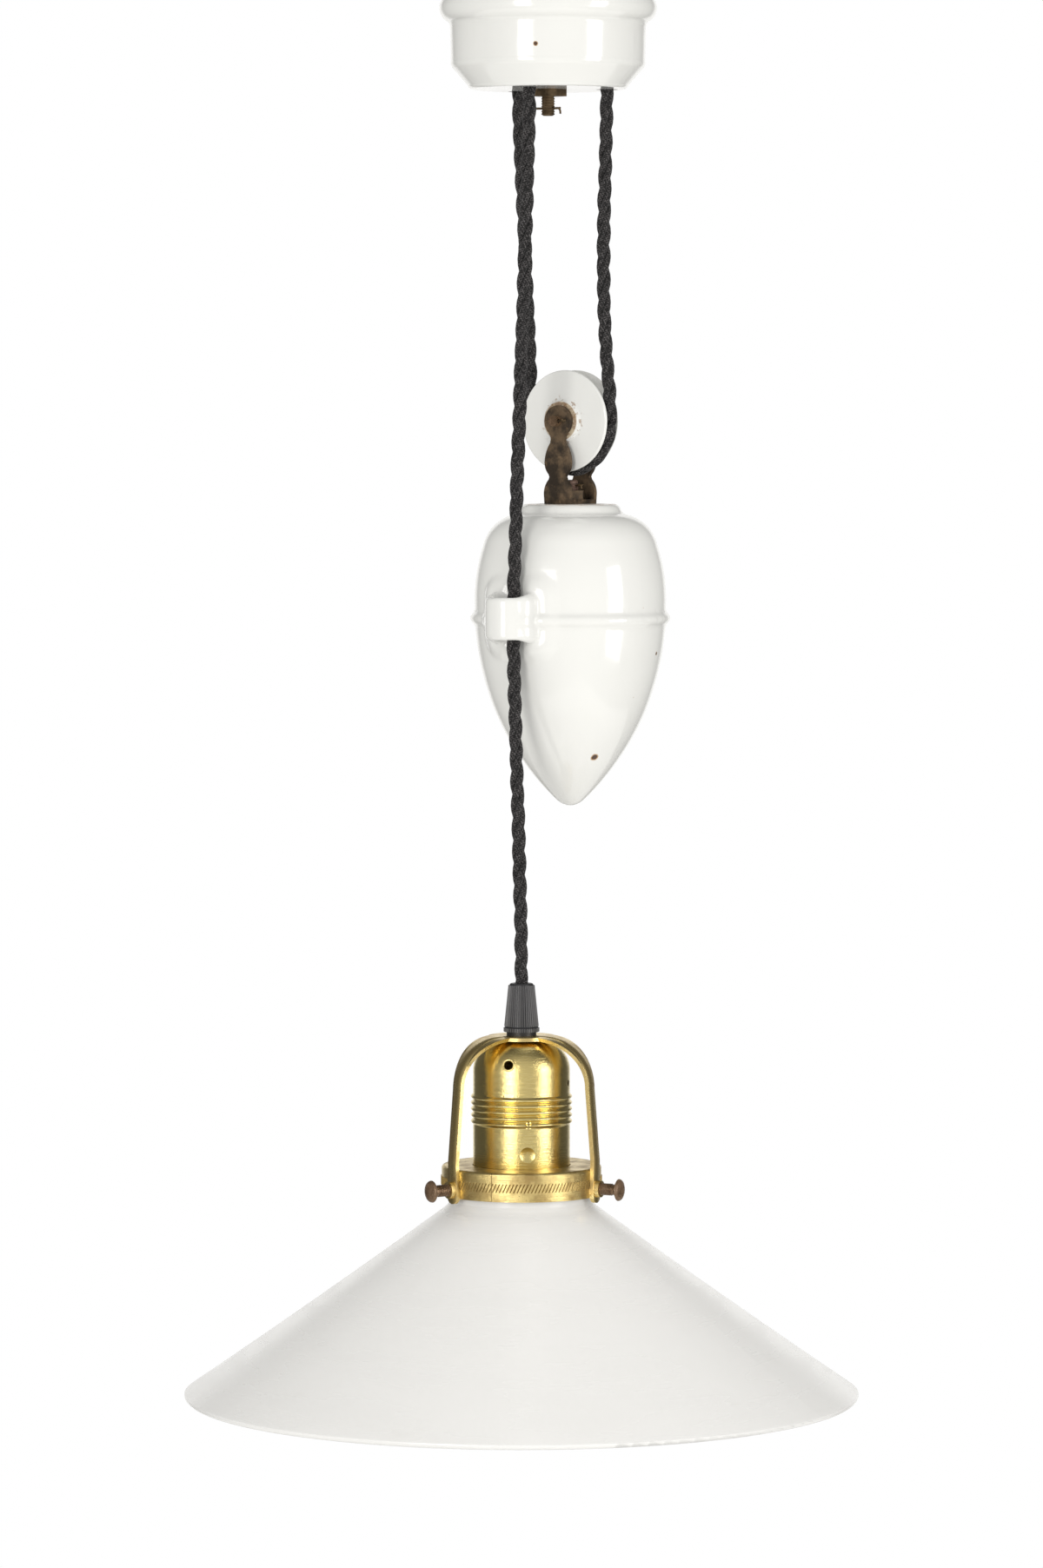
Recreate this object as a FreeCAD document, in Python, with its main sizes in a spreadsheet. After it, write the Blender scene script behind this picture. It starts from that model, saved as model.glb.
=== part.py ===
import FreeCAD, Part
import math
import os
import re

import Sketcher

# Rise and fall pendant: a porcelain ceiling cup, a twisted flex that runs round the pulley of an
# egg-shaped porcelain counterweight, and a brass lampholder whose three-armed gallery carries a
# glass coolie shade. Millimetres, +Z up. The origin is the centre of the cup on the ceiling.
# The lamp hangs towards -Y and the counterweight towards +Y.

DRIVING = {
    # twisted flex
    "flex_r": 2.8,
    "flex_gap": 0.3,
    # ceiling cup
    "cup_height": 36.9,
    "cup_floor": 4.4,
    "cup_wall": 4.0,
    "cup_wall_r": 38.7,
    "cup_roll_r": 40.3,
    "cup_roll_height": 10.0,
    "cup_roll_curve": 6.0,
    "cup_cove": 2.4,
    "cup_cove_curve": 2.8,
    "cup_foot_r": 30.0,
    "cup_bevel_height": 9.4,
    "cup_bevel_edge": 1.6,
    "cup_bevel_curve": 3.4,
    "cup_foot_edge": 1.6,
    "cup_foot_curve": 1.9,
    "cup_draft": 0.5,
    "cup_inner_fillet": 5.0,
    "flex_hole_r": 4.2,
    "lamp_exit_x": 1.5,
    "lamp_exit_y": -17.4,
    "return_exit_x": -19.5,
    "return_exit_y": 10.8,
    "fixed_exit_x": 18.5,
    "fixed_exit_y": 14.6,
    # ceiling plate, its stud and nuts
    "plate_length": 62.0,
    "plate_width": 14.0,
    "plate_thickness": 2.5,
    "plate_yaw": 90.0,
    "screw_spacing": 46.0,
    "screw_hole_r": 2.6,
    "stud_r": 2.4,
    "stud_gap": 0.25,
    "stud_below_nut": 7.7,
    "stud_chamfer": 0.5,
    "nut_corner_r": 4.6,
    "frame_nut_corner_r": 3.9,
    "nut_height": 3.2,
    "square_nut_corner_r": 7.35,
    "square_nut_height": 2.8,
    # split pins
    "pin_r": 0.55,
    "pin_hole_r": 0.9,
    "pin_eye_r": 1.5,
    "pin_thin_r": 0.45,
    "pin_tail": 3.0,
    "pin_spread": 38.0,
    "pin_overhang": 0.6,
    "pin_drop_share": 0.62,
    # rollers above the cup's floor
    "roller_drop": 16.0,
    "roller_pitch_r": 9.2,
    "roller_flange_r": 7.9,
    "roller_width": 8.4,
    "roller_rim": 0.8,
    "roller_groove_curve": 4.2,
    "roller_pin_r": 1.5,
    "running_gap": 0.05,
    "frame_wall": 1.2,
    "frame_side_gap": 0.3,
    "frame_head_r": 4.0,
    "frame_tab_width": 9.0,
    "frame_tab_corner": 2.0,
    "roller_pin_proud": 0.8,
    # terminal block and the cleat that holds the flex's fixed end
    "block_x": 17.2,
    "block_face_y": -2.0,
    "block_length": 18.6,
    "block_depth": 12.6,
    "block_height": 16.5,
    "block_bore_height": 12.5,
    "block_bore_r": 1.6,
    "block_pitch": 6.0,
    "terminal_screw_r": 1.3,
    "terminal_screw_length": 2.6,
    "terminal_screw_sunk": 2.0,
    "cleat_r": 6.5,
    "cleat_height": 5.0,
    "cleat_bevel": 1.0,
    "tail_bend_r": 6.5,
    # counterweight
    "weight_y": 18.0,
    "weight_yaw": -5.0,
    "weight_drop": 200.8,
    "weight_height": 120.6,
    "weight_lip_r": 20.4,
    "weight_lip_height": 3.2,
    "weight_lip_round": 1.8,
    "weight_lip_curve": 2.4,
    "weight_lip_fillet": 0.8,
    "weight_crown_curve": 16.0,
    "weight_shoulder_r": 34.8,
    "weight_shoulder_drop": 16.3,
    "weight_shoulder_curve": 70.0,
    "weight_girth_r": 38.1,
    "weight_bead_drop": 45.5,
    "weight_bead_half": 2.4,
    "weight_bead_r": 2.45,
    "weight_side_curve": 112.0,
    "weight_hip_r": 29.9,
    "weight_hip_drop": 83.1,
    "weight_hip_curve": 105.0,
    "weight_nose_r": 11.8,
    "weight_nose_height": 8.3,
    "weight_nose_curve": 12.5,
    "weight_wall": 6.0,
    "weight_mouth_r": 13.0,
    "hollow_shoulder_drop": 20.3,
    "hollow_shoulder_curve": 20.0,
    "hollow_upper_curve": 90.0,
    "hollow_lower_curve": 70.0,
    "hollow_foot_r": 5.0,
    "hollow_foot_rise": 10.0,
    "hollow_foot_curve": 14.0,
    "plug_height": 6.0,
    # guide eye
    "eye_reach": 43.0,
    "eye_r": 5.2,
    "eye_end_r": 9.2,
    "eye_height": 16.5,
    "eye_root_share": 0.85,
    # pulley and its yoke
    "pulley_drop": 167.8,
    "pulley_pitch_r": 19.2,
    "pulley_r": 20.5,
    "pulley_rim_half": 4.5,
    "pulley_hub_half": 7.1,
    "pulley_hub_r": 8.2,
    "pulley_hub_round": 0.6,
    "pulley_web_rise": 1.3,
    "pulley_web_curve": 1.6,
    "pulley_lip_width": 0.6,
    "pulley_lip_curve": 0.75,
    "groove_half": 3.6,
    "groove_curve": 4.15,
    "axle_r": 2.1,
    "axle_proud": 3.0,
    "axle_head_r": 3.6,
    "axle_head_height": 1.3,
    "yoke_thickness": 1.8,
    "yoke_side_gap": 0.4,
    "yoke_head_r": 6.2,
    "yoke_throat_half": 3.0,
    "yoke_throat_curve": 3.0,
    "yoke_belly_half": 6.1,
    "yoke_belly_rise": 17.0,
    "yoke_upper_curve": 14.0,
    "yoke_lower_curve": 6.5,
    "yoke_waist_half": 3.7,
    "yoke_waist_rise": 10.8,
    "yoke_waist_gap": 0.6,
    "yoke_waist_curve": 0.8,
    "yoke_foot_half": 6.4,
    "yoke_foot_rise": 3.2,
    "yoke_foot_curve": 8.0,
    "stem_r": 3.0,
    "stem_above_yoke": 7.8,
    "stem_pin_drop": 2.2,
    "stem_depth": 60.0,
    "stem_foot_r": 9.0,
    "stem_foot_height": 2.0,
    "fill_drop": 41.5,
    "stem_nut_corner_r": 6.0,
    "stem_nut_height": 3.6,
    # lamp: cord grip and nipple
    "lamp_y": -21.0,
    "lamp_drop": 410.2,
    "grip_height": 19.2,
    "grip_top_r": 4.75,
    "grip_base_r": 6.9,
    "grip_collar_r": 5.9,
    "grip_collar_height": 1.4,
    "grip_band_height": 1.6,
    "grip_step": 0.5,
    "grip_round": 0.8,
    "grip_gap": 0.15,
    "nipple_r": 5.0,
    "nipple_bore_r": 3.4,
    "nipple_in_grip": 9.0,
    "nipple_in_cap": 8.0,
    "lock_nut_corner_r": 6.8,
    "lock_nut_height": 2.6,
    # gallery: bracket, ring and screws
    "bracket_lean": 0.8,
    "bracket_bend_r": 20.0,
    "bracket_thickness": 1.5,
    "bracket_foot_height": 16.6,
    "bracket_end_drop": 65.0,
    "bracket_disc_r": 13.0,
    "arm_root_half": 8.5,
    "arm_root_curve": 36.0,
    "arm_half": 2.8,
    "arm_neck_drop": 18.0,
    "arm_flare_drop": 50.0,
    "arm_end_half": 3.8,
    "first_arm_angle": -116.0,
    "arm_count": 3,
    "boss_r": 3.3,
    "boss_height": 1.9,
    "gallery_gap": 1.1,
    "gallery_wall": 0.9,
    "gallery_round": 1.2,
    "gallery_clearance": 0.3,
    "gallery_height": 11.4,
    "gallery_top_drop": 51.4,
    "screw_drop": 59.4,
    "screw_r": 2.1,
    "screw_head_r": 4.35,
    "screw_head_height": 3.2,
    "screw_neck_length": 6.0,
    "screw_tip": 0.5,
    "screw_head_rise": 1.5,
    "screw_head_edge": 0.7,
    "screw_head_curve": 1.3,
    "screw_dome_curve": 6.0,
    "screw_flat_r": 1.0,
    # lampholder
    "holder_r": 19.2,
    "holder_wall": 0.7,
    "holder_dome_r": 12.4,
    "holder_cap_height": 21.3,
    "holder_lap": 6.0,
    "holder_lap_root": 1.0,
    "holder_rib_r": 20.0,
    "holder_rib_count": 5,
    "holder_rib_pitch": 2.5,
    "holder_shell_height": 36.5,
    "holder_rim": 2.4,
    "holder_rim_height": 1.0,
    "vent_r": 1.75,
    "vent_lift": 17.4,
    "vent_angle": -76.0,
    "side_hole_r": 1.2,
    "side_hole_drop": 18.5,
    "side_hole_angle": 15.0,
    "insert_gap": 0.8,
    "insert_floor_drop": 29.0,
    "insert_floor": 9.0,
    "socket_r": 13.3,
    "socket_wall": 0.5,
    "socket_depth": 22.0,
    "socket_start": 2.0,
    "contact_r": 5.0,
    "contact_bulge": 1.6,
    "contact_edge": 1.0,
    "contact_edge_height": 1.2,
    # glass shade
    "shade_r": 133.6,
    "shade_height": 77.0,
    "shade_wall": 3.0,
    "shade_neck_r": 28.4,
    "shade_neck_height": 12.0,
    "shade_neck_curve": 5.0,
    "shade_neck_flare": 2.2,
    "shade_lip": 1.2,
    "shade_lip_height": 3.2,
    "shade_lip_round": 1.0,
    "shade_rim_curve": 1.75,
    "shade_sweep": 4000.0,
}

# sizes that follow from others
DERIVED = {
    "gallery_r": "shade_neck_r + shade_lip + gallery_gap + gallery_wall",
    "bracket_r": "gallery_r - bracket_lean",
    "cup_inside_r": "cup_wall_r - cup_wall",
    "cup_floor_z": "cup_floor - cup_height",
    "stud_pin_z": "-(cup_height + square_nut_height + stud_below_nut * pin_drop_share)",
    "pulley_rise": "weight_drop - pulley_drop",
    "yoke_inside": "pulley_hub_half + yoke_side_gap",
    "yoke_outside": "yoke_inside + yoke_thickness",
    "hollow_foot_drop": "weight_height - hollow_foot_rise",
    "shade_lip_foot": "-(screw_drop - screw_r - running_gap)",
    "shade_lip_top": "shade_lip_foot + shade_lip_height",
    "shade_neck_foot": "shade_lip_top - shade_neck_height",
    "shade_rim": "shade_neck_foot - shade_height",
}

doc = FreeCAD.newDocument("rise_and_fall_pendant")
sheet = doc.addObject("Spreadsheet::Sheet", "Sizes")
NAMED = {**DRIVING, **{alias: f"={formula}" for alias, formula in DERIVED.items()}}
for row, (alias, value) in enumerate(NAMED.items(), start=1):
    sheet.set(f"A{row}", alias.replace("_", " "))
    sheet.set(f"B{row}", str(value))
    sheet.setAlias(f"B{row}", alias)
doc.recompute()

SUBPARTS = []
UP = FreeCAD.Vector(0, 0, 1)
# turns that lay a piece drawn along +Z along +X, along +Y, and along -Y
TO_X = FreeCAD.Rotation(FreeCAD.Vector(0, 1, 0), 90)
TO_Y = FreeCAD.Rotation(FreeCAD.Vector(1, 0, 0), -90)
FROM_Y = FreeCAD.Rotation(FreeCAD.Vector(1, 0, 0), 90)


def vector(x, y, z):
    return FreeCAD.Vector(x, y, z)


def bound(formula):
    """A formula of sizes, with the sheet's name before each size."""
    return re.sub(
        r"[a-z][a-z_0-9]*",
        lambda word: f"Sizes.{word[0]}" if word[0] in NAMED else word[0],
        formula,
    )


def size(formula):
    """The value in millimetres or degrees of a formula of sizes."""
    return float(sheet.evalExpression(bound(formula)))


def bind(thing, **formulas):
    """Tie properties of an object to formulas of sizes."""
    for name, formula in formulas.items():
        thing.setExpression(name, bound(formula))
    return thing


def turn(yaw=0.0, tilt=0.0):
    """A turn that first tips Z towards -Y by tilt and then yaws about Z, both in degrees."""
    return FreeCAD.Rotation(UP, yaw) * FreeCAD.Rotation(vector(1, 0, 0), tilt)


def place(thing, x="0", y="0", z="0", rotation=None):
    """Put an object at a bound point, turned by a rotation."""
    if rotation is not None:
        thing.Placement = FreeCAD.Placement(vector(0, 0, 0), rotation)
    for axis, formula in (("x", x), ("y", y), ("z", z)):
        thing.setExpression(f"Placement.Base.{axis}", bound(formula))
    return thing


def subpart(thing, label):
    """Name a finished piece of the lamp, and keep it for the files."""
    thing.Label = label
    SUBPARTS.append(thing)
    return thing


# ---------------------------------------------------------------------------------------------
# Outlines: closed sketches whose corners are bound to the sheet. A corner is (across, up) after a
# straight side, or (across, up, radius, side) after an arc whose centre is on that side of travel.


def arc_between(start, end, radius, side):
    """The short arc of this radius from start to end."""
    chord = end - start
    normal = vector(-chord.y, chord.x, 0).normalize() * (1 if side == "left" else -1)
    reach = math.sqrt(max(radius**2 - (chord.Length / 2) ** 2, 0.0))
    centre = (start + end) * 0.5 + normal * reach
    first, last = (start, end) if side == "left" else (end, start)
    angles = [math.atan2(p.y - centre.y, p.x - centre.x) for p in (first, last)]
    circle = Part.Circle(centre, UP, radius)
    return Part.ArcOfCircle(circle, angles[0], angles[1])


def outline(body, plane, corners, offset=None):
    """A sketch of a closed outline on one of the body's own planes."""
    sketch = body.newObject("Sketcher::SketchObject", body.Label + "_outline")
    base = next(o for o in body.Origin.OriginFeatures if o.Role == plane)
    sketch.AttachmentSupport = [(base, "")]
    sketch.MapMode = "FlatFace"
    if offset is not None:
        sketch.setExpression("AttachmentOffset.Base.z", bound(offset))
    points = [vector(size(c[0]), size(c[1]), 0) for c in corners]
    ends = []
    for i, corner in enumerate(corners):
        start, end = points[i - 1], points[i]
        if len(corner) == 4:
            index = sketch.addGeometry(arc_between(start, end, size(corner[2]), corner[3]))
            ends.append((index, 1, 2) if corner[3] == "left" else (index, 2, 1))
        else:
            index = sketch.addGeometry(Part.LineSegment(start, end))
            ends.append((index, 1, 2))
    for i, corner in enumerate(corners):
        index, _, tail = ends[i]
        following, head, _ = ends[(i + 1) % len(corners)]
        sketch.addConstraint(Sketcher.Constraint("Coincident", index, tail, following, head))
        pin_corner(sketch, index, tail, corner, points[i])
        if len(corner) == 4:
            row = sketch.addConstraint(Sketcher.Constraint("Radius", index, size(corner[2])))
            sketch.setExpression(f"Constraints[{row}]", bound(corner[2]))
    return sketch


def pin_corner(sketch, index, end, corner, point):
    """Hold a corner of a sketch at its bound place."""
    for formula, value, kind, axis in (
        (corner[0], point.x, "DistanceX", -2),
        (corner[1], point.y, "DistanceY", -1),
    ):
        if formula == "0":
            sketch.addConstraint(Sketcher.Constraint("PointOnObject", index, end, axis))
            continue
        row = sketch.addConstraint(Sketcher.Constraint(kind, -1, 1, index, end, value))
        sketch.setExpression(f"Constraints[{row}]", bound(formula))


def new_body(name):
    return doc.addObject("PartDesign::Body", name)


def turned(name, corners):
    """A body turned about Z from an outline of (radius, height) corners."""
    body = new_body(name)
    sketch = outline(body, "XZ_Plane", corners)
    solid = body.newObject("PartDesign::Revolution", "Turned")
    solid.Profile = sketch
    solid.ReferenceAxis = (sketch, ["V_Axis"])
    solid.Angle = 360
    sketch.Visibility = False
    return body


def raised(name, corners, height, plane="XY_Plane", offset=None):
    """A body padded from an outline."""
    body = new_body(name)
    sketch = outline(body, plane, corners, offset)
    solid = body.newObject("PartDesign::Pad", "Raised")
    solid.Profile = sketch
    bind(solid, Length=height)
    return body


def rod(name, radius, length, x="0", y="0", z="0", rotation=None):
    """A bound cylinder whose foot is at a point."""
    cylinder = doc.addObject("Part::Cylinder", name)
    bind(cylinder, Radius=radius, Height=length)
    return place(cylinder, x, y, z, rotation)


def joined(name, things):
    fuse = doc.addObject("Part::MultiFuse", name)
    fuse.Shapes = things
    return fuse


def cut(name, base, tools):
    """The base with the tools cut out of it."""
    result = doc.addObject("Part::Cut", name)
    result.Base = base
    result.Tool = tools[0] if len(tools) == 1 else joined(name + "_tools", tools)
    return result


def group(name, things):
    """Several like pieces as one sub-part of separate solids."""
    compound = doc.addObject("Part::Compound", name)
    compound.Links = things
    return subpart(compound, name)


def nut(name, sides, corner_r, height, bore, z, x="0", y="0", yaw=0.0):
    """A nut whose underside is at height z."""
    prism = doc.addObject("Part::Prism", name + "_blank")
    prism.Polygon = sides
    bind(prism, Circumradius=corner_r, Height=height)
    place(prism, x, y, z, turn(yaw))
    hole = rod(name + "_bore", bore, height, x, y, z)
    return subpart(cut(name, prism, [hole]), name)


def split_pin(name, half_length, at, yaw):
    """A split pin: an eye, a straight shank along X through the hole, and two tails bent apart."""
    wire_r, thin_r, eye_r = size("pin_r"), size("pin_thin_r"), size("pin_eye_r")
    half, spread = size(half_length), math.radians(size("pin_spread"))
    along = vector(1, 0, 0)
    pieces = [
        Part.makeCylinder(wire_r, 2 * half, along * -half, along),
        Part.makeTorus(eye_r, thin_r, along * -(half + eye_r), UP),
        Part.makeSphere(wire_r, along * half),
    ]
    for side in (1, -1):
        way = vector(math.cos(spread), side * math.sin(spread), 0)
        pieces.append(Part.makeCylinder(thin_r, size("pin_tail"), along * half, way))
    feature = doc.addObject("Part::Feature", name)
    feature.Shape = pieces[0].multiFuse(pieces[1:])
    feature.Placement = FreeCAD.Placement(at, turn(yaw))
    return subpart(feature, name)


# ---------------------------------------------------------------------------------------------
# Flex: a plain round tube along straight runs that are joined by tangent arcs.

ROUND_SHARE = 0.45  # of the shorter run, taken up by each rounded corner


def rounded_route(name, points):
    """Edges through hand-chosen points, each corner rounded as widely as its two runs allow."""
    edges, start, radii = [], points[0], []
    for before, corner, after in zip(points, points[1:], points[2:]):
        back, ahead = before - corner, after - corner
        take = ROUND_SHARE * min(back.Length, ahead.Length)
        half_turn = (math.pi - back.getAngle(ahead)) / 2
        radius = take / math.tan(half_turn)
        radii.append(round(radius, 1))
        back.normalize()
        ahead.normalize()
        inward = (back + ahead).normalize()
        first, last = corner + back * take, corner + ahead * take
        middle = corner + inward * (radius / math.cos(half_turn) - radius)
        edges.append(Part.LineSegment(start, first).toShape())
        edges.append(Part.Arc(first, middle, last).toShape())
        start = last
    edges.append(Part.LineSegment(start, points[-1]).toShape())
    print(f"{name}: bend radii {radii} mm")
    return edges


def flex(name, edges):
    """A tube of the flex's size along a route, its volume compared with section times length."""
    route = Part.Wire(edges)
    first = edges[0]
    begin = first.valueAt(first.FirstParameter)
    way = first.tangentAt(first.FirstParameter)
    section = Part.Wire(Part.Circle(begin, way, size("flex_r")).toShape())
    tube = route.makePipeShell([section], True, False)
    expected = math.pi * size("flex_r") ** 2 * route.Length
    print(f"{name}: length {route.Length:.1f} mm, volume {tube.Volume / expected:.4f} of the expected")
    feature = doc.addObject("Part::Feature", name)
    feature.Shape = tube
    return subpart(feature, name)


# ---------------------------------------------------------------------------------------------
# Ceiling fitting


def make_ceiling_plate():
    half = "plate_length / 2 - plate_width / 2"
    strap = raised(
        "plate_strap",
        [
            (half, "-plate_width / 2"),
            (half, "plate_width / 2", "plate_width / 2 + 0.0001", "left"),
            (f"-({half})", "plate_width / 2"),
            (f"-({half})", "-plate_width / 2", "plate_width / 2 + 0.0001", "left"),
        ],
        "plate_thickness",
    )
    holes = [
        rod("plate_hole", "screw_hole_r", "plate_thickness", "screw_spacing / 2"),
        rod("plate_hole", "screw_hole_r", "plate_thickness", "-screw_spacing / 2"),
        rod("plate_stud_hole", "stud_r", "plate_thickness"),
    ]
    plate = cut("ceiling_plate", strap, holes)
    place(plate, z="-plate_thickness", rotation=turn(size("plate_yaw")))
    subpart(plate, "ceiling_plate")


def make_ceiling_stud():
    end = "-(cup_height + square_nut_height + stud_below_nut)"
    blank = turned(
        "stud_blank",
        [
            ("0", "0"),
            ("0", end),
            ("stud_r - stud_chamfer", end),
            ("stud_r", f"{end} + stud_chamfer"),
            ("stud_r", "0"),
        ],
    )
    hole = rod(
        "stud_pin_hole",
        "pin_hole_r",
        "4 * stud_r",
        x="-2 * stud_r",
        z="stud_pin_z",
        rotation=TO_X,
    )
    subpart(cut("ceiling_stud", blank, [hole]), "ceiling_stud")
    nut("plate_nut", 6, "nut_corner_r", "nut_height", "stud_r", "-(plate_thickness + nut_height)")
    nut(
        "cup_nut",
        4,
        "square_nut_corner_r",
        "square_nut_height",
        "stud_r",
        "-(cup_height + square_nut_height)",
        yaw=-60.0,
    )
    split_pin("cup_split_pin", "stud_r + pin_overhang", vector(0, 0, size("stud_pin_z")), 0)


def make_ceiling_cup():
    bevel = "-cup_height + cup_bevel_height"
    blank = turned(
        "cup_blank",
        [
            ("cup_inside_r + cup_draft", "0"),
            ("cup_inside_r", "cup_floor_z + cup_inner_fillet"),
            ("cup_inside_r - cup_inner_fillet", "cup_floor_z", "cup_inner_fillet", "right"),
            ("stud_r + stud_gap", "cup_floor_z"),
            ("stud_r + stud_gap", "-cup_height"),
            ("cup_foot_r", "-cup_height"),
            (
                "cup_foot_r + cup_foot_edge",
                "-cup_height + cup_foot_edge * 0.8",
                "cup_foot_curve",
                "left",
            ),
            ("cup_wall_r - cup_bevel_edge * 0.8", f"{bevel} - cup_bevel_edge * 0.9"),
            ("cup_wall_r - cup_bevel_edge * 0.2", f"{bevel} + cup_bevel_edge", "cup_bevel_curve", "left"),
            ("cup_wall_r", "-cup_roll_height - cup_cove"),
            ("cup_roll_r", "-cup_roll_height", "cup_cove_curve", "right"),
            ("cup_roll_r", "0", "cup_roll_curve", "left"),
        ],
    )
    holes = [
        rod(f"{name}_hole", "flex_hole_r", "cup_floor", f"{name}_x", f"{name}_y", "-cup_height")
        for name in ("lamp_exit", "return_exit", "fixed_exit")
    ]
    subpart(cut("ceiling_cup", blank, holes), "ceiling_cup")


def roller_line():
    """The plan line from the return flex to the lamp flex that both rollers lie along."""
    entry = vector(size("return_exit_x"), size("return_exit_y"), 0)
    leave = vector(size("lamp_exit_x"), size("lamp_exit_y"), 0)
    return entry, leave, (leave - entry).normalize()


def make_rollers():
    entry, leave, way = roller_line()
    heading = math.degrees(math.atan2(way.y, way.x))
    groove_bottom = "roller_pitch_r - flex_r - flex_gap"
    half = "roller_width / 2"
    for name, corner, side in (("return_roller", entry, 1), ("lamp_roller", leave, -1)):
        roller = turned(
            name,
            [
                ("roller_pin_r + running_gap", f"-({half})"),
                ("roller_flange_r", f"-({half})"),
                ("roller_flange_r", f"-({half} - roller_rim)"),
                (groove_bottom, "0", "roller_groove_curve", "right"),
                ("roller_flange_r", f"{half} - roller_rim", "roller_groove_curve", "right"),
                ("roller_flange_r", half),
                ("roller_pin_r + running_gap", half),
            ],
        )
        middle = corner + way * size("roller_pitch_r") * side
        roller.Placement = FreeCAD.Placement(middle - UP * size("roller_drop"), turn(heading, 90))
        subpart(roller, name)


def make_roller_frame():
    """A U of sheet iron: a web on the cup's floor with a tab round the stud, and two side plates."""
    entry, leave, way = roller_line()
    heading = math.degrees(math.atan2(way.y, way.x))
    middle = (entry + leave) * 0.5
    to_stud = FreeCAD.Rotation(UP, -heading).multVec(-middle)
    half_gap = "(roller_width / 2 + frame_side_gap)"
    outer = f"({half_gap} + frame_wall)"
    spacing = f"({(leave - entry).Length} / 2 - roller_pitch_r)"
    reach = f"({spacing} + frame_head_r)"
    tab_left, tab_right = f"{to_stud.x} - frame_tab_width / 2", f"{to_stud.x} + frame_tab_width / 2"
    tab_end = f"{to_stud.y} + frame_tab_width / 2"
    web = raised(
        "frame_web",
        [
            (f"-{reach}", f"-{outer}"),
            (reach, f"-{outer}"),
            (reach, outer),
            (tab_right, outer),
            (tab_right, f"{tab_end} - frame_tab_corner"),
            (f"{tab_right} - frame_tab_corner", tab_end, "frame_tab_corner", "left"),
            (f"{tab_left} + frame_tab_corner", tab_end),
            (tab_left, f"{tab_end} - frame_tab_corner", "frame_tab_corner", "left"),
            (tab_left, outer),
            (f"-{reach}", outer),
        ],
        "frame_wall",
    )
    axle_height = "(-cup_floor_z - roller_drop)"
    profile = [
        (f"-{reach}", "0"),
        (reach, "0"),
        (reach, axle_height),
        (spacing, f"{axle_height} + frame_head_r", "frame_head_r", "left"),
        (f"-{spacing}", f"{axle_height} + frame_head_r"),
        (f"-{reach}", axle_height, "frame_head_r", "left"),
    ]
    plates = [
        raised("frame_side", profile, "frame_wall", "XZ_Plane", offset)
        for offset in (half_gap, f"-{outer}")
    ]
    holes = [
        rod("frame_hole", "roller_pin_r", f"2 * {outer}", f"{sign}{spacing}", f"-{outer}", axle_height, TO_Y)
        for sign in ("", "-")
    ]
    stud_hole = rod("frame_stud_hole", "stud_r", "frame_wall", str(to_stud.x), str(to_stud.y))
    frame = cut("roller_frame", joined("frame_blank", [web] + plates), holes + [stud_hole])
    frame.Placement = FreeCAD.Placement(middle + UP * size("cup_floor_z"), turn(heading))
    subpart(frame, "roller_frame")
    length = f"(2 * {outer} + 2 * roller_pin_proud)"
    pins = []
    for corner, side in ((entry, 1), (leave, -1)):
        pin = doc.addObject("Part::Cylinder", "roller_pin")
        bind(pin, Radius="roller_pin_r", Height=length)
        centre = corner + way * size("roller_pitch_r") * side - UP * size("roller_drop")
        rotation = turn(heading, 90)
        foot = centre - rotation.multVec(UP) * (size(length) / 2)
        pin.Placement = FreeCAD.Placement(foot, rotation)
        pins.append(pin)
    group("roller_pins", pins)
    nut(
        "frame_nut",
        6,
        "frame_nut_corner_r",
        "nut_height",
        "stud_r",
        "cup_floor_z + frame_wall",
        yaw=heading,
    )


def make_terminals():
    block = doc.addObject("Part::Box", "block_blank")
    bind(block, Length="block_length", Width="block_depth", Height="block_height")
    place(block, "block_x - block_length / 2", "block_face_y - block_depth", "cup_floor_z")
    bores, screws, seats = [], [], []
    bore_z = "cup_floor_z + block_bore_height"
    screw_z = "cup_floor_z + block_height - terminal_screw_sunk"
    for step in ("-block_pitch", "0 * block_pitch", "block_pitch"):
        column = f"block_x + {step}"
        bores.append(
            rod("block_bore", "block_bore_r", "block_depth", column, "block_face_y", bore_z, FROM_Y)
        )
        for share in (0.28, 0.72):
            row = f"block_face_y - block_depth * {share}"
            depth = "block_height - block_bore_height"
            seats.append(rod("block_seat", "terminal_screw_r", depth, column, row, bore_z))
            screws.append(
                rod("block_screw", "terminal_screw_r", "terminal_screw_length", column, row, screw_z)
            )
    subpart(cut("terminal_block", block, bores + seats), "terminal_block")
    group("terminal_screws", screws)
    cleat = turned(
        "cord_cleat",
        [
            ("flex_r", "0"),
            ("cleat_r", "0"),
            ("cleat_r", "cleat_height - cleat_bevel"),
            ("cleat_r - cleat_bevel", "cleat_height"),
            ("flex_r", "cleat_height"),
        ],
    )
    place(cleat, "fixed_exit_x", "fixed_exit_y", "cup_floor_z")
    subpart(cleat, "cord_cleat")


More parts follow.
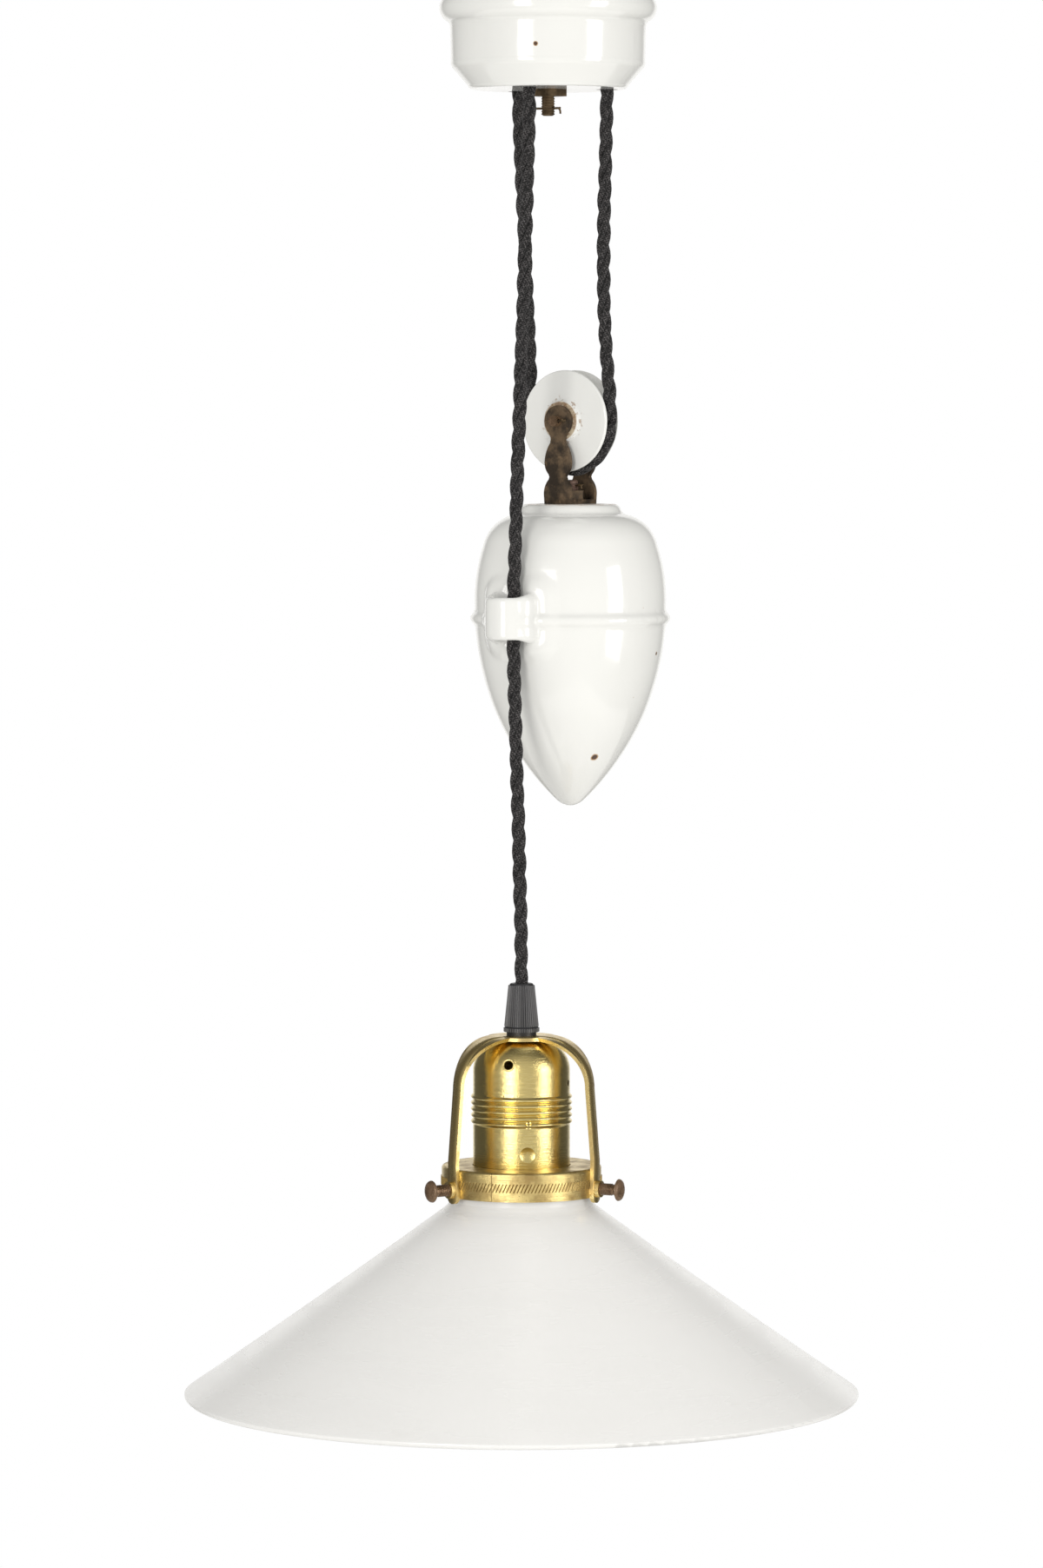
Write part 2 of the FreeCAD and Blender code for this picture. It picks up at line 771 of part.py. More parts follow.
def make_ceiling_flex():
    """The flex inside the cup: its fixed tail, and the stretch that runs over both rollers."""
    floor_z = size("cup_floor_z")
    inlet_z = floor_z + size("block_bore_height")
    bend = size("tail_bend_r")
    foot = vector(size("fixed_exit_x"), size("fixed_exit_y"), floor_z)
    rise = vector(foot.x, foot.y, inlet_z - bend)
    level = vector(foot.x, foot.y - bend, inlet_z)
    sagitta = bend * (1 - math.cos(math.pi / 4))
    middle = vector(foot.x, foot.y - sagitta, inlet_z - sagitta)
    end = vector(foot.x, size("block_face_y"), inlet_z)
    flex(
        "flex_fixed_tail",
        [
            Part.LineSegment(foot, rise).toShape(),
            Part.Arc(rise, middle, level).toShape(),
            Part.LineSegment(level, end).toShape(),
        ],
    )
    entry, leave, way = roller_line()
    pitch, centre_z = size("roller_pitch_r"), -size("roller_drop")
    edges, last = [], entry + UP * floor_z
    for corner, side in ((entry, 1), (leave, -1)):
        hub = corner + way * pitch * side + UP * centre_z
        outer, top = hub - way * pitch * side, hub + UP * pitch
        shoulder = hub + (UP - way * side).normalize() * pitch
        first, second = (outer, top) if side == 1 else (top, outer)
        edges.append(Part.LineSegment(last, first).toShape())
        edges.append(Part.Arc(first, shoulder, second).toShape())
        last = second
    edges.append(Part.LineSegment(last, leave + UP * floor_z).toShape())
    flex("flex_over_rollers", edges)


# ---------------------------------------------------------------------------------------------
# Counterweight


def weight_frame(x=0.0, y=0.0, z=0.0):
    """A point of the counterweight's own frame, whose origin is on the lip and whose -Y is the eye."""
    local = FreeCAD.Rotation(UP, size("weight_yaw")).multVec(vector(x, y, z))
    return local + vector(0, size("weight_y"), -size("weight_drop"))


def put_on_weight(thing, x=0.0, y=0.0, z=0.0, rotation=None):
    """Place a piece in the counterweight's own frame."""
    own = rotation if rotation is not None else FreeCAD.Rotation()
    thing.Placement = FreeCAD.Placement(
        weight_frame(x, y, z), FreeCAD.Rotation(UP, size("weight_yaw")) * own
    )
    return thing


def make_weight_shell():
    bead_top, bead_foot = "-(weight_bead_drop - weight_bead_half)", "-(weight_bead_drop + weight_bead_half)"
    nose = "-(weight_height - weight_nose_height)"
    body = turned(
        "shell_body",
        [
            ("weight_mouth_r", "0"),
            ("weight_mouth_r", "-plug_height"),
            (
                "weight_shoulder_r - weight_wall",
                "-hollow_shoulder_drop",
                "hollow_shoulder_curve",
                "right",
            ),
            ("weight_girth_r - weight_wall", "-weight_bead_drop", "hollow_upper_curve", "right"),
            ("weight_hip_r - weight_wall", "-weight_hip_drop", "weight_side_curve", "right"),
            ("hollow_foot_r", "-hollow_foot_drop", "hollow_lower_curve", "right"),
            ("0", "-(hollow_foot_drop + 1)", "hollow_foot_curve", "right"),
            ("0", "-weight_height"),
            ("weight_nose_r", nose, "weight_nose_curve", "left"),
            ("weight_hip_r", "-weight_hip_drop", "weight_hip_curve", "left"),
            ("weight_girth_r", bead_foot, "weight_side_curve", "left"),
            ("weight_girth_r", bead_top, "weight_bead_r", "left"),
            ("weight_shoulder_r", "-weight_shoulder_drop", "weight_shoulder_curve", "left"),
            (
                "weight_lip_r + weight_lip_fillet",
                "-weight_lip_height",
                "weight_crown_curve",
                "left",
            ),
            (
                "weight_lip_r",
                "-weight_lip_height + weight_lip_fillet",
                "weight_lip_fillet",
                "right",
            ),
            ("weight_lip_r - weight_lip_round", "0", "weight_lip_curve", "left"),
        ],
    )
    lug = raised(
        "shell_lug",
        [
            ("eye_end_r", "-weight_girth_r * eye_root_share"),
            ("-eye_end_r", "-weight_girth_r * eye_root_share"),
            ("-eye_end_r", "-eye_reach"),
            ("eye_end_r", "-eye_reach", "eye_end_r + 0.0001", "left"),
        ],
        "eye_height",
        offset="-(weight_bead_drop + eye_height / 2)",
    )
    bore = rod("eye_bore", "eye_r", "eye_height", "0", "-eye_reach", "-(weight_bead_drop + eye_height / 2)")
    shell = cut("weight_shell", joined("shell_blank", [body, lug]), [bore])
    subpart(put_on_weight(shell), "weight_shell")


def make_weight_inside():
    fill = turned(
        "fill_blank",
        [
            ("0", "-fill_drop"),
            ("0", "-(hollow_foot_drop + 1)"),
            ("hollow_foot_r", "-hollow_foot_drop", "hollow_foot_curve", "left"),
            ("weight_hip_r - weight_wall", "-weight_hip_drop", "hollow_lower_curve", "left"),
            ("weight_girth_r - weight_wall", "-weight_bead_drop", "weight_side_curve", "left"),
            ("weight_girth_r - weight_wall", "-fill_drop"),
        ],
    )
    holes = [
        rod("fill_stem_hole", "stem_r", "stem_depth", z="-stem_depth"),
        rod("fill_foot_hole", "stem_foot_r", "stem_foot_height", z="-stem_depth"),
    ]
    subpart(put_on_weight(cut("weight_fill", fill, holes)), "weight_fill")
    plug = turned(
        "weight_plug",
        [("stem_r", "0"), ("stem_r", "-plug_height"), ("weight_mouth_r", "-plug_height"), ("weight_mouth_r", "0")],
    )
    subpart(put_on_weight(plug), "weight_plug")
    top = "(yoke_thickness + stem_above_yoke)"
    stem = turned(
        "stem_blank",
        [
            ("0", top),
            ("0", "-stem_depth"),
            ("stem_foot_r", "-stem_depth"),
            ("stem_foot_r", "-stem_depth + stem_foot_height"),
            ("stem_r", "-stem_depth + stem_foot_height"),
            ("stem_r", f"{top} - stud_chamfer"),
            ("stem_r - stud_chamfer", top),
        ],
    )
    pin_height = f"{top} - stem_pin_drop"
    hole = rod("stem_pin_hole", "pin_hole_r", "4 * stem_r", x="-2 * stem_r", z=pin_height, rotation=TO_X)
    subpart(put_on_weight(cut("weight_stem", stem, [hole])), "weight_stem")
    nut_blank = doc.addObject("Part::Prism", "stem_nut_blank")
    nut_blank.Polygon = 6
    bind(nut_blank, Circumradius="stem_nut_corner_r", Height="stem_nut_height")
    bore = rod("stem_nut_bore", "stem_r", "stem_nut_height")
    stem_nut = cut("stem_nut", nut_blank, [bore])
    subpart(put_on_weight(stem_nut, z=size("yoke_thickness")), "stem_nut")
    pin_at = weight_frame(z=size(pin_height))
    split_pin("stem_split_pin", "stem_r + pin_overhang", pin_at, size("weight_yaw"))


def make_yoke():
    """One iron strap bent into a U: its arms swell and narrow like a baluster."""
    waist_low, waist_high = "yoke_waist_rise - yoke_waist_gap", "yoke_waist_rise + yoke_waist_gap"
    # the point of the round head that its throat runs into, as shares of the head's radius
    head_half, head_low = "yoke_head_r * 0.58", "pulley_rise - yoke_head_r * 0.8146"
    throat_low = "pulley_rise - yoke_head_r * 1.32"
    arms = raised(
        "yoke_arms",
        [
            ("-yoke_foot_half", "0"),
            ("yoke_foot_half", "0"),
            ("yoke_foot_half", "yoke_foot_rise"),
            ("yoke_waist_half", waist_low, "yoke_foot_curve", "left"),
            ("yoke_waist_half", waist_high, "yoke_waist_curve", "right"),
            ("yoke_belly_half", "yoke_belly_rise", "yoke_lower_curve", "left"),
            ("yoke_throat_half", throat_low, "yoke_upper_curve", "left"),
            (head_half, head_low, "yoke_throat_curve", "right"),
            (f"-{head_half}", head_low, "yoke_head_r", "left"),
            ("-yoke_throat_half", throat_low, "yoke_throat_curve", "right"),
            ("-yoke_belly_half", "yoke_belly_rise", "yoke_upper_curve", "left"),
            ("-yoke_waist_half", waist_high, "yoke_lower_curve", "left"),
            ("-yoke_waist_half", waist_low, "yoke_waist_curve", "right"),
            ("-yoke_foot_half", "yoke_foot_rise", "yoke_foot_curve", "left"),
        ],
        "2 * yoke_outside",
        "XZ_Plane",
        "-yoke_outside",
    )
    gap = doc.addObject("Part::Box", "yoke_gap")
    bind(gap, Length="4 * yoke_foot_half", Width="2 * yoke_inside", Height="pulley_rise + 2 * yoke_head_r")
    place(gap, "-2 * yoke_foot_half", "-yoke_inside", "yoke_thickness")
    axle_hole = rod("yoke_axle_hole", "axle_r", "2 * yoke_outside", "0", "-yoke_outside", "pulley_rise", TO_Y)
    stem_hole = rod("yoke_stem_hole", "stem_r", "yoke_thickness")
    yoke = cut("yoke", arms, [gap, axle_hole, stem_hole])
    subpart(put_on_weight(yoke), "yoke")
    axle = turned(
        "axle_blank",
        [
            ("0", "-(yoke_outside + axle_head_height)"),
            ("axle_head_r", "-(yoke_outside + axle_head_height)"),
            ("axle_head_r", "-yoke_outside"),
            ("axle_r", "-yoke_outside"),
            ("axle_r", "yoke_outside + axle_proud"),
            ("0", "yoke_outside + axle_proud"),
        ],
    )
    pin_reach = "yoke_outside + axle_proud * pin_drop_share"
    cross = rod("axle_pin_hole", "pin_hole_r", "4 * axle_r", x="-2 * axle_r", z=pin_reach, rotation=TO_X)
    pulley_axle = cut("pulley_axle", axle, [cross])
    put_on_weight(pulley_axle, z=size("pulley_rise"), rotation=FROM_Y)
    subpart(pulley_axle, "pulley_axle")
    pin_at = weight_frame(0, -size(pin_reach), size("pulley_rise"))
    split_pin("axle_split_pin", "axle_r + pin_overhang", pin_at, size("weight_yaw"))


def make_pulley_wheel():
    groove_bottom = "pulley_pitch_r - flex_r - flex_gap"
    web_r = "pulley_hub_r + pulley_web_curve / 2"
    lip_r = "pulley_r - pulley_lip_width / 2"
    face_r = "pulley_r - pulley_lip_width * 1.5"
    wheel = turned(
        "pulley_wheel",
        [
            ("axle_r + running_gap", "-pulley_hub_half"),
            ("pulley_hub_r - pulley_hub_round", "-pulley_hub_half"),
            ("pulley_hub_r", "-pulley_hub_half + pulley_hub_round", "pulley_hub_round", "left"),
            (web_r, "-(pulley_rim_half + pulley_web_rise)", "pulley_web_curve", "right"),
            (face_r, "-pulley_rim_half"),
            (lip_r, "-groove_half", "pulley_lip_curve", "left"),
            (groove_bottom, "0", "groove_curve", "right"),
            (lip_r, "groove_half", "groove_curve", "right"),
            (face_r, "pulley_rim_half", "pulley_lip_curve", "left"),
            (web_r, "pulley_rim_half + pulley_web_rise"),
            ("pulley_hub_r", "pulley_hub_half - pulley_hub_round", "pulley_web_curve", "right"),
            ("pulley_hub_r - pulley_hub_round", "pulley_hub_half", "pulley_hub_round", "left"),
            ("axle_r + running_gap", "pulley_hub_half"),
        ],
    )
    put_on_weight(wheel, z=size("pulley_rise"), rotation=FROM_Y)
    subpart(wheel, "pulley_wheel")


# How the hanging runs sway: (share of the run, x, y), with x and y counted from its upper end, or
# on the lamp's run from its lower end.
FIXED_SWAY = ((0.129, -0.1, -0.1), (0.366, -1.1, -0.4), (0.632, -1.5, -0.2), (0.817, -0.6, 0.7))
PLUMB_SHARE = 0.14  # of a run that hangs plumb below the cup
LAMP_SWAY = ((0.826, -0.9, -0.9), (0.955, 0.0, 0.0))
EYE_SLACK = (1.6, 1.1)  # the lamp's run leans this far off the middle of the guide eye


def below(top, foot_z, sway):
    """Points of a run that starts at top and goes down to foot_z."""
    return [top + vector(x, y, (foot_z - top.z) * share) for share, x, y in sway]


def make_hanging_flex():
    """The three long runs below the cup, and the half turn under the pulley."""
    pitch, rise, floor_z = size("pulley_pitch_r"), size("pulley_rise"), size("cup_floor_z")
    right, left = weight_frame(pitch, 0, rise), weight_frame(-pitch, 0, rise)
    lowest = weight_frame(0, 0, rise - pitch)
    flex("flex_round_pulley", [Part.Arc(left, lowest, right).toShape()])

    top = vector(size("fixed_exit_x"), size("fixed_exit_y"), floor_z)
    points = [top] + below(top, right.z, FIXED_SWAY) + [right + UP * pitch / 2, right]
    flex("flex_fixed_run", rounded_route("flex_fixed_run", points))

    top = vector(size("return_exit_x"), size("return_exit_y"), floor_z)
    points = [top] + below(top, left.z, [(PLUMB_SHARE, 0, 0)]) + [left + UP * pitch, left]
    flex("flex_return_run", rounded_route("flex_return_run", points))

    eye = weight_frame(EYE_SLACK[0], EYE_SLACK[1] - size("eye_reach"), -size("weight_bead_drop"))
    reach = size("eye_height") * 0.75
    top = vector(size("lamp_exit_x"), size("lamp_exit_y"), floor_z)
    foot = vector(0, size("lamp_y"), -size("lamp_drop - grip_collar_height - grip_height"))
    hang = [foot + vector(x, y, (floor_z - foot.z) * (1 - share)) for share, x, y in LAMP_SWAY]
    plumb = top - UP * size("cup_height") / 2
    points = [top, plumb, eye + UP * reach, eye - UP * reach] + hang + [foot]
    flex("flex_lamp_run", rounded_route("flex_lamp_run", points))


# ---------------------------------------------------------------------------------------------
# Lamp: every height is counted down from the top of the bracket.


def put_on_lamp(thing, z="0", rotation=None):
    return place(thing, "0", "lamp_y", f"-lamp_drop + {z}", rotation)


def make_cord_grip():
    base = "grip_collar_height"
    top = "(grip_collar_height + grip_height)"
    grip = turned(
        "cord_grip",
        [
            ("nipple_r", "0"),
            ("grip_collar_r", "0"),
            ("grip_collar_r", base),
            ("grip_base_r", base),
            ("grip_base_r", f"{base} + grip_band_height"),
            ("grip_base_r - grip_step", f"{base} + grip_band_height + grip_step"),
            ("grip_top_r", f"{top} - grip_round"),
            ("grip_top_r - grip_round", top, "grip_round", "left"),
            ("flex_r + grip_gap", top),
            ("flex_r + grip_gap", "nipple_in_grip"),
            ("nipple_r", "nipple_in_grip"),
        ],
    )
    subpart(put_on_lamp(grip), "cord_grip")
    nipple = turned(
        "entry_nipple",
        [
            ("nipple_bore_r", "nipple_in_grip"),
            ("nipple_bore_r", "-nipple_in_cap"),
            ("nipple_r", "-nipple_in_cap"),
            ("nipple_r", "nipple_in_grip"),
        ],
    )
    subpart(put_on_lamp(nipple), "entry_nipple")
    top_z = -size("lamp_drop - grip_collar_height - grip_height")
    end_z = -size("lamp_drop + nipple_in_cap")
    line = Part.LineSegment(vector(0, size("lamp_y"), top_z), vector(0, size("lamp_y"), end_z))
    flex("flex_lamp_tail", [line.toShape()])
    blank = doc.addObject("Part::Prism", "lock_nut_blank")
    blank.Polygon = 6
    bind(blank, Circumradius="lock_nut_corner_r", Height="lock_nut_height")
    bore = rod("lock_nut_bore", "nipple_r", "lock_nut_height")
    lock_nut = cut("lock_nut", blank, [bore])
    put_on_lamp(lock_nut, "-(bracket_thickness + holder_wall + lock_nut_height)")
    subpart(lock_nut, "lock_nut")


def arm_angle(index):
    """The formula of an arm's heading."""
    return f"(first_arm_angle + {index} * 360 / arm_count)"


def along_arm(name, radius, length, start, index):
    """A rod that points outwards along an arm at the height of the screws."""
    angle = arm_angle(index)
    rotation = turn(size(angle)) * TO_X
    return rod(name, radius, length, f"{start} * cos({angle})", f"{start} * sin({angle})", "-screw_drop", rotation)


def make_gallery_bracket():
    """Three straps pressed from one blank: a disc under the grip, and arms that bend down to the ring."""
    bend_start = "bracket_r - bracket_bend_r"
    foot_r = "(gallery_r + bracket_thickness)"
    foot_top = "-(bracket_end_drop - bracket_foot_height)"
    skin = turned(
        "bracket_skin",
        [
            ("nipple_r", "0"),
            ("nipple_r", "-bracket_thickness"),
            (bend_start, "-bracket_thickness"),
            (
                "bracket_r - bracket_thickness",
                "-bracket_bend_r",
                "bracket_bend_r - bracket_thickness",
                "right",
            ),
            ("gallery_r", foot_top),
            ("gallery_r", "-bracket_end_drop"),
            (foot_r, "-bracket_end_drop"),
            (foot_r, foot_top),
            ("bracket_r", "-bracket_bend_r"),
            (bend_start, "0", "bracket_bend_r", "left"),
        ],
    )
    end_centre = "-bracket_end_drop + arm_end_half"
    strap = [
        ("-arm_root_half", "bracket_thickness"),
        ("-arm_half", "-arm_neck_drop", "arm_root_curve", "right"),
        ("-arm_half", "-arm_flare_drop"),
        ("-arm_end_half", end_centre),
        ("arm_end_half", end_centre, "arm_end_half + 0.0001", "left"),
        ("arm_half", "-arm_flare_drop"),
        ("arm_half", "-arm_neck_drop"),
        ("arm_root_half", "bracket_thickness", "arm_root_curve", "right"),
    ]
    straps = [rod("bracket_disc", "bracket_disc_r", "bracket_thickness", z="-bracket_thickness")]
    bosses, holes = [], []
    for index in range(int(size("arm_count"))):
        prism = raised("bracket_prism", strap, f"{foot_r} + bracket_thickness", "YZ_Plane")
        straps.append(place(prism, rotation=turn(size(arm_angle(index)))))
        middle = "(gallery_r + bracket_thickness / 2)"
        bosses.append(
            along_arm("bracket_boss", "boss_r", "bracket_thickness / 2 + boss_height", middle, index)
        )
        holes.append(
            along_arm("bracket_tapping", "screw_r + running_gap", "4 * boss_r", "(gallery_r - boss_r)", index)
        )
    common = doc.addObject("Part::MultiCommon", "bracket_straps")
    common.Shapes = [skin, joined("bracket_star", straps)]
    bracket = cut("gallery_bracket", joined("bracket_blank", [common] + bosses), holes)
    subpart(put_on_lamp(bracket), "gallery_bracket")


def make_gallery_ring():
    top, foot = "-gallery_top_drop", "-(gallery_top_drop + gallery_height)"
    ring = turned(
        "ring_blank",
        [
            ("holder_r + gallery_clearance", top),
            ("holder_r + gallery_clearance", f"{top} - gallery_wall"),
            ("gallery_r - gallery_wall", f"{top} - gallery_wall"),
            ("gallery_r - gallery_wall", foot),
            ("gallery_r", foot),
            ("gallery_r", f"{top} - gallery_round"),
            ("gallery_r - gallery_round", top, "gallery_round", "left"),
        ],
    )
    holes = [
        along_arm("ring_hole", "screw_r + gallery_clearance", "4 * screw_r", "(gallery_r - 2 * screw_r)", index)
        for index in range(int(size("arm_count")))
    ]
    subpart(put_on_lamp(cut("gallery_ring", ring, holes)), "gallery_ring")


def make_gallery_screws():
    """Three thumb screws, drawn along +Z and laid out along the arms."""
    tip = "(shade_neck_r + running_gap)"
    head = "(gallery_r + bracket_thickness + boss_height + screw_neck_length)"
    top = f"{head} + screw_head_height"
    for index in range(int(size("arm_count"))):
        name = f"gallery_screw_{index + 1}"
        screw = turned(
            name,
            [
                ("0", tip),
                ("screw_r - screw_tip", tip),
                ("screw_r", f"{tip} + screw_tip"),
                ("screw_r", head),
                ("screw_head_r", f"{head} + screw_head_rise"),
                ("screw_head_r - screw_head_edge", f"{top} - screw_head_edge", "screw_head_curve", "left"),
                ("screw_flat_r", top, "screw_dome_curve", "left"),
                ("0", top),
            ],
        )
        put_on_lamp(screw, "-screw_drop", turn(size(arm_angle(index))) * TO_X)
        subpart(screw, name)


def make_lampholder():
    cap_top = "-bracket_thickness"
    cap_foot = "-(bracket_thickness + holder_cap_height)"
    inside = "holder_r - holder_wall"
    lap_inside = "holder_r - 2 * holder_wall"
    dome_middle = "holder_r - holder_dome_r"
    cap = turned(
        "cap_blank",
        [
            ("nipple_r", cap_top),
            ("nipple_r", f"{cap_top} - holder_wall"),
            (dome_middle, f"{cap_top} - holder_wall"),
            (inside, f"{cap_top} - holder_dome_r", "holder_dome_r - holder_wall", "right"),
            (inside, f"{cap_foot} + holder_lap_root"),
            (lap_inside, f"{cap_foot} + holder_lap_root"),
            (lap_inside, f"{cap_foot} - holder_lap"),
            (inside, f"{cap_foot} - holder_lap"),
            (inside, cap_foot),
            ("holder_r", cap_foot),
            ("holder_r", f"{cap_top} - holder_dome_r"),
            (dome_middle, cap_top, "holder_dome_r", "left"),
        ],
    )
    vent = rod(
        "cap_vent",
        "vent_r",
        "2 * holder_dome_r",
        f"({dome_middle}) * cos(vent_angle)",
        f"({dome_middle}) * sin(vent_angle)",
        f"{cap_top} - holder_dome_r",
        turn(size("vent_angle") + 90, 90 - size("vent_lift")),
    )
    side_hole = rod(
        "cap_side_hole",
        "side_hole_r",
        "2 * holder_r",
        z="-side_hole_drop",
        rotation=turn(size("side_hole_angle")) * TO_X,
    )
    subpart(put_on_lamp(cut("lampholder_cap", cap, [vent, side_hole])), "lampholder_cap")

    shell_foot = f"({cap_foot} - holder_shell_height)"
    corners = [
        (inside, cap_foot),
        (inside, f"{shell_foot} + holder_rim_height"),
        ("holder_r - holder_rim", f"{shell_foot} + holder_rim_height"),
        ("holder_r - holder_rim", shell_foot),
        ("holder_r - holder_rim_height", shell_foot),
        ("holder_r", f"{shell_foot} + holder_rim_height", "holder_rim_height", "left"),
    ]
    for index in range(int(size("holder_rib_count")), 0, -1):
        low = f"({cap_foot} - {index} * holder_rib_pitch)"
        corners.append(("holder_r", low))
        corners.append(("holder_rib_r", f"{low} + holder_rib_pitch * 0.45"))
        corners.append(("holder_rib_r", f"{low} + holder_rib_pitch * 0.75"))
    corners.append(("holder_r", cap_foot))
    subpart(put_on_lamp(turned("lampholder_shell", corners)), "lampholder_shell")

    floor = "-insert_floor_drop"
    socket_foot = "-(insert_floor_drop + socket_depth)"
    socket_top = "-(insert_floor_drop + socket_start)"
    insert_r = "holder_r - 2 * holder_wall - insert_gap"
    insert = turned(
        "lampholder_insert",
        [
            ("0", f"{floor} + insert_floor"),
            ("0", floor),
            ("socket_r + socket_wall", floor),
            ("socket_r + socket_wall", socket_foot),
            (insert_r, socket_foot),
            (insert_r, f"{floor} + insert_floor"),
        ],
    )
    subpart(put_on_lamp(insert), "lampholder_insert")
    socket = turned(
        "screw_shell",
        [
            ("socket_r", socket_top),
            ("socket_r", socket_foot),
            ("socket_r + socket_wall", socket_foot),
            ("socket_r + socket_wall", socket_top),
        ],
    )
    subpart(put_on_lamp(socket), "screw_shell")
    contact = turned(
        "centre_contact",
        [
            ("0", floor),
            ("0", f"{floor} - contact_bulge"),
            ("contact_r - contact_edge", f"{floor} - contact_edge_height"),
            ("contact_r", floor),
        ],
    )
    subpart(put_on_lamp(contact), "centre_contact")


def make_shade():
    """A shallow cone with a slight sweep, a short neck and a lip that the three screws hold."""
    inner = "shade_neck_r - shade_wall"
    lip = "shade_neck_r + shade_lip"
    shade = turned(
        "shade",
        [
            (inner, "shade_lip_top"),
            (inner, "shade_neck_foot - shade_neck_curve * 0.28"),
            (
                f"{inner} + shade_neck_flare",
                "shade_neck_foot - shade_neck_curve * 0.82",
                "shade_neck_curve",
                "left",
            ),
            ("shade_r - shade_wall * 0.87", "shade_rim - shade_wall * 0.2", "shade_sweep", "left"),
            ("shade_r", "shade_rim + shade_wall * 0.4", "shade_rim_curve", "left"),
            (
                "shade_neck_r + shade_neck_flare",
                "shade_neck_foot - shade_neck_curve * 0.52",
                "shade_sweep",
                "right",
            ),
            ("shade_neck_r", "shade_neck_foot + shade_neck_curve * 0.12", "shade_neck_curve", "right"),
            ("shade_neck_r", "shade_lip_foot"),
            (lip, "shade_lip_foot + shade_lip_round"),
            (lip, "shade_lip_top - shade_lip_round"),
            (f"{lip} - shade_lip_round", "shade_lip_top", "shade_lip_round", "left"),
        ],
    )
    subpart(put_on_lamp(shade), "shade")


# ---------------------------------------------------------------------------------------------


def check_document():
    """Stop on any object that failed, or a sub-part without one sound shape."""
    faults = [o.Label for o in doc.Objects if {"Invalid", "Error"} & set(o.State)]
    for thing in SUBPARTS:
        if thing.Shape.isNull() or not thing.Shape.isValid() or not thing.Shape.Solids:
            faults.append(thing.Label)
    if faults:
        raise RuntimeError(f"no sound shape in {faults}")


def write_files():
    os.makedirs("parts", exist_ok=True)
    for thing in SUBPARTS:
        thing.Shape.exportStep(f"parts/{thing.Label}.step")
        box = thing.Shape.BoundBox
        print(
            f"{thing.Label}: {len(thing.Shape.Solids)} solid, {thing.Shape.Volume:.0f} mm3,"
            f" z {box.ZMin:.1f} to {box.ZMax:.1f}"
        )


make_ceiling_plate()
make_ceiling_stud()
make_ceiling_cup()
make_rollers()
make_roller_frame()
make_terminals()
make_ceiling_flex()
make_weight_shell()
make_weight_inside()
make_yoke()
make_pulley_wheel()
make_hanging_flex()
make_cord_grip()
make_gallery_bracket()
make_gallery_ring()
make_gallery_screws()
make_lampholder()
make_shade()
doc.recompute()
check_document()
write_files()
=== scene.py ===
"""Rise and fall pendant: finishes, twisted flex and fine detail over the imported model.

Lengths are in metres, in the row frame: +Z up, and the origin on the ceiling at the cup's centre.
"""

import logging
import math
from dataclasses import dataclass, field
from enum import Enum
from typing import Any

import bmesh
import bpy
import numpy as np
from mathutils import Matrix, Vector


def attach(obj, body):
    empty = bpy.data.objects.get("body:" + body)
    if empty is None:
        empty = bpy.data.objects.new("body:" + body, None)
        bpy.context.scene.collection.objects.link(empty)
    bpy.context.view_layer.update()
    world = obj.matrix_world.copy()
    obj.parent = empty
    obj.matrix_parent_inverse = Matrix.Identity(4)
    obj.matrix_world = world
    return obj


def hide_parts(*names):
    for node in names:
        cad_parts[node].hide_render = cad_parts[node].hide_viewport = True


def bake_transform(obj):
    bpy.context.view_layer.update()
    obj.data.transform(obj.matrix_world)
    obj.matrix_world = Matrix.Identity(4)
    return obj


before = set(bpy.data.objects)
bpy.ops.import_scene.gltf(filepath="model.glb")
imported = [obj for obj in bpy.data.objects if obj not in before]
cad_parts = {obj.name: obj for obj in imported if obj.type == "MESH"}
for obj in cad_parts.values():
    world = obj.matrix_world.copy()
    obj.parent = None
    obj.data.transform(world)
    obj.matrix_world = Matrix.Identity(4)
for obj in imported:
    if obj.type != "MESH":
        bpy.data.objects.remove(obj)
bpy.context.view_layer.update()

log = logging.getLogger("pendant")

MM = 0.001
Colour = tuple[float, float, float]
Point = tuple[float, float, float]
LAMP_AXIS: Point = (0.0, -0.021, 0.0)


def metres(*values: float) -> Vector:
    """A point from millimetres."""
    return Vector(values) * MM


def toned(colour: Colour, share: float) -> Colour:
    """A colour made darker or lighter."""
    return tuple(c * share for c in colour)


# --------------------------------------------------------------------------------------------
# Shader maths


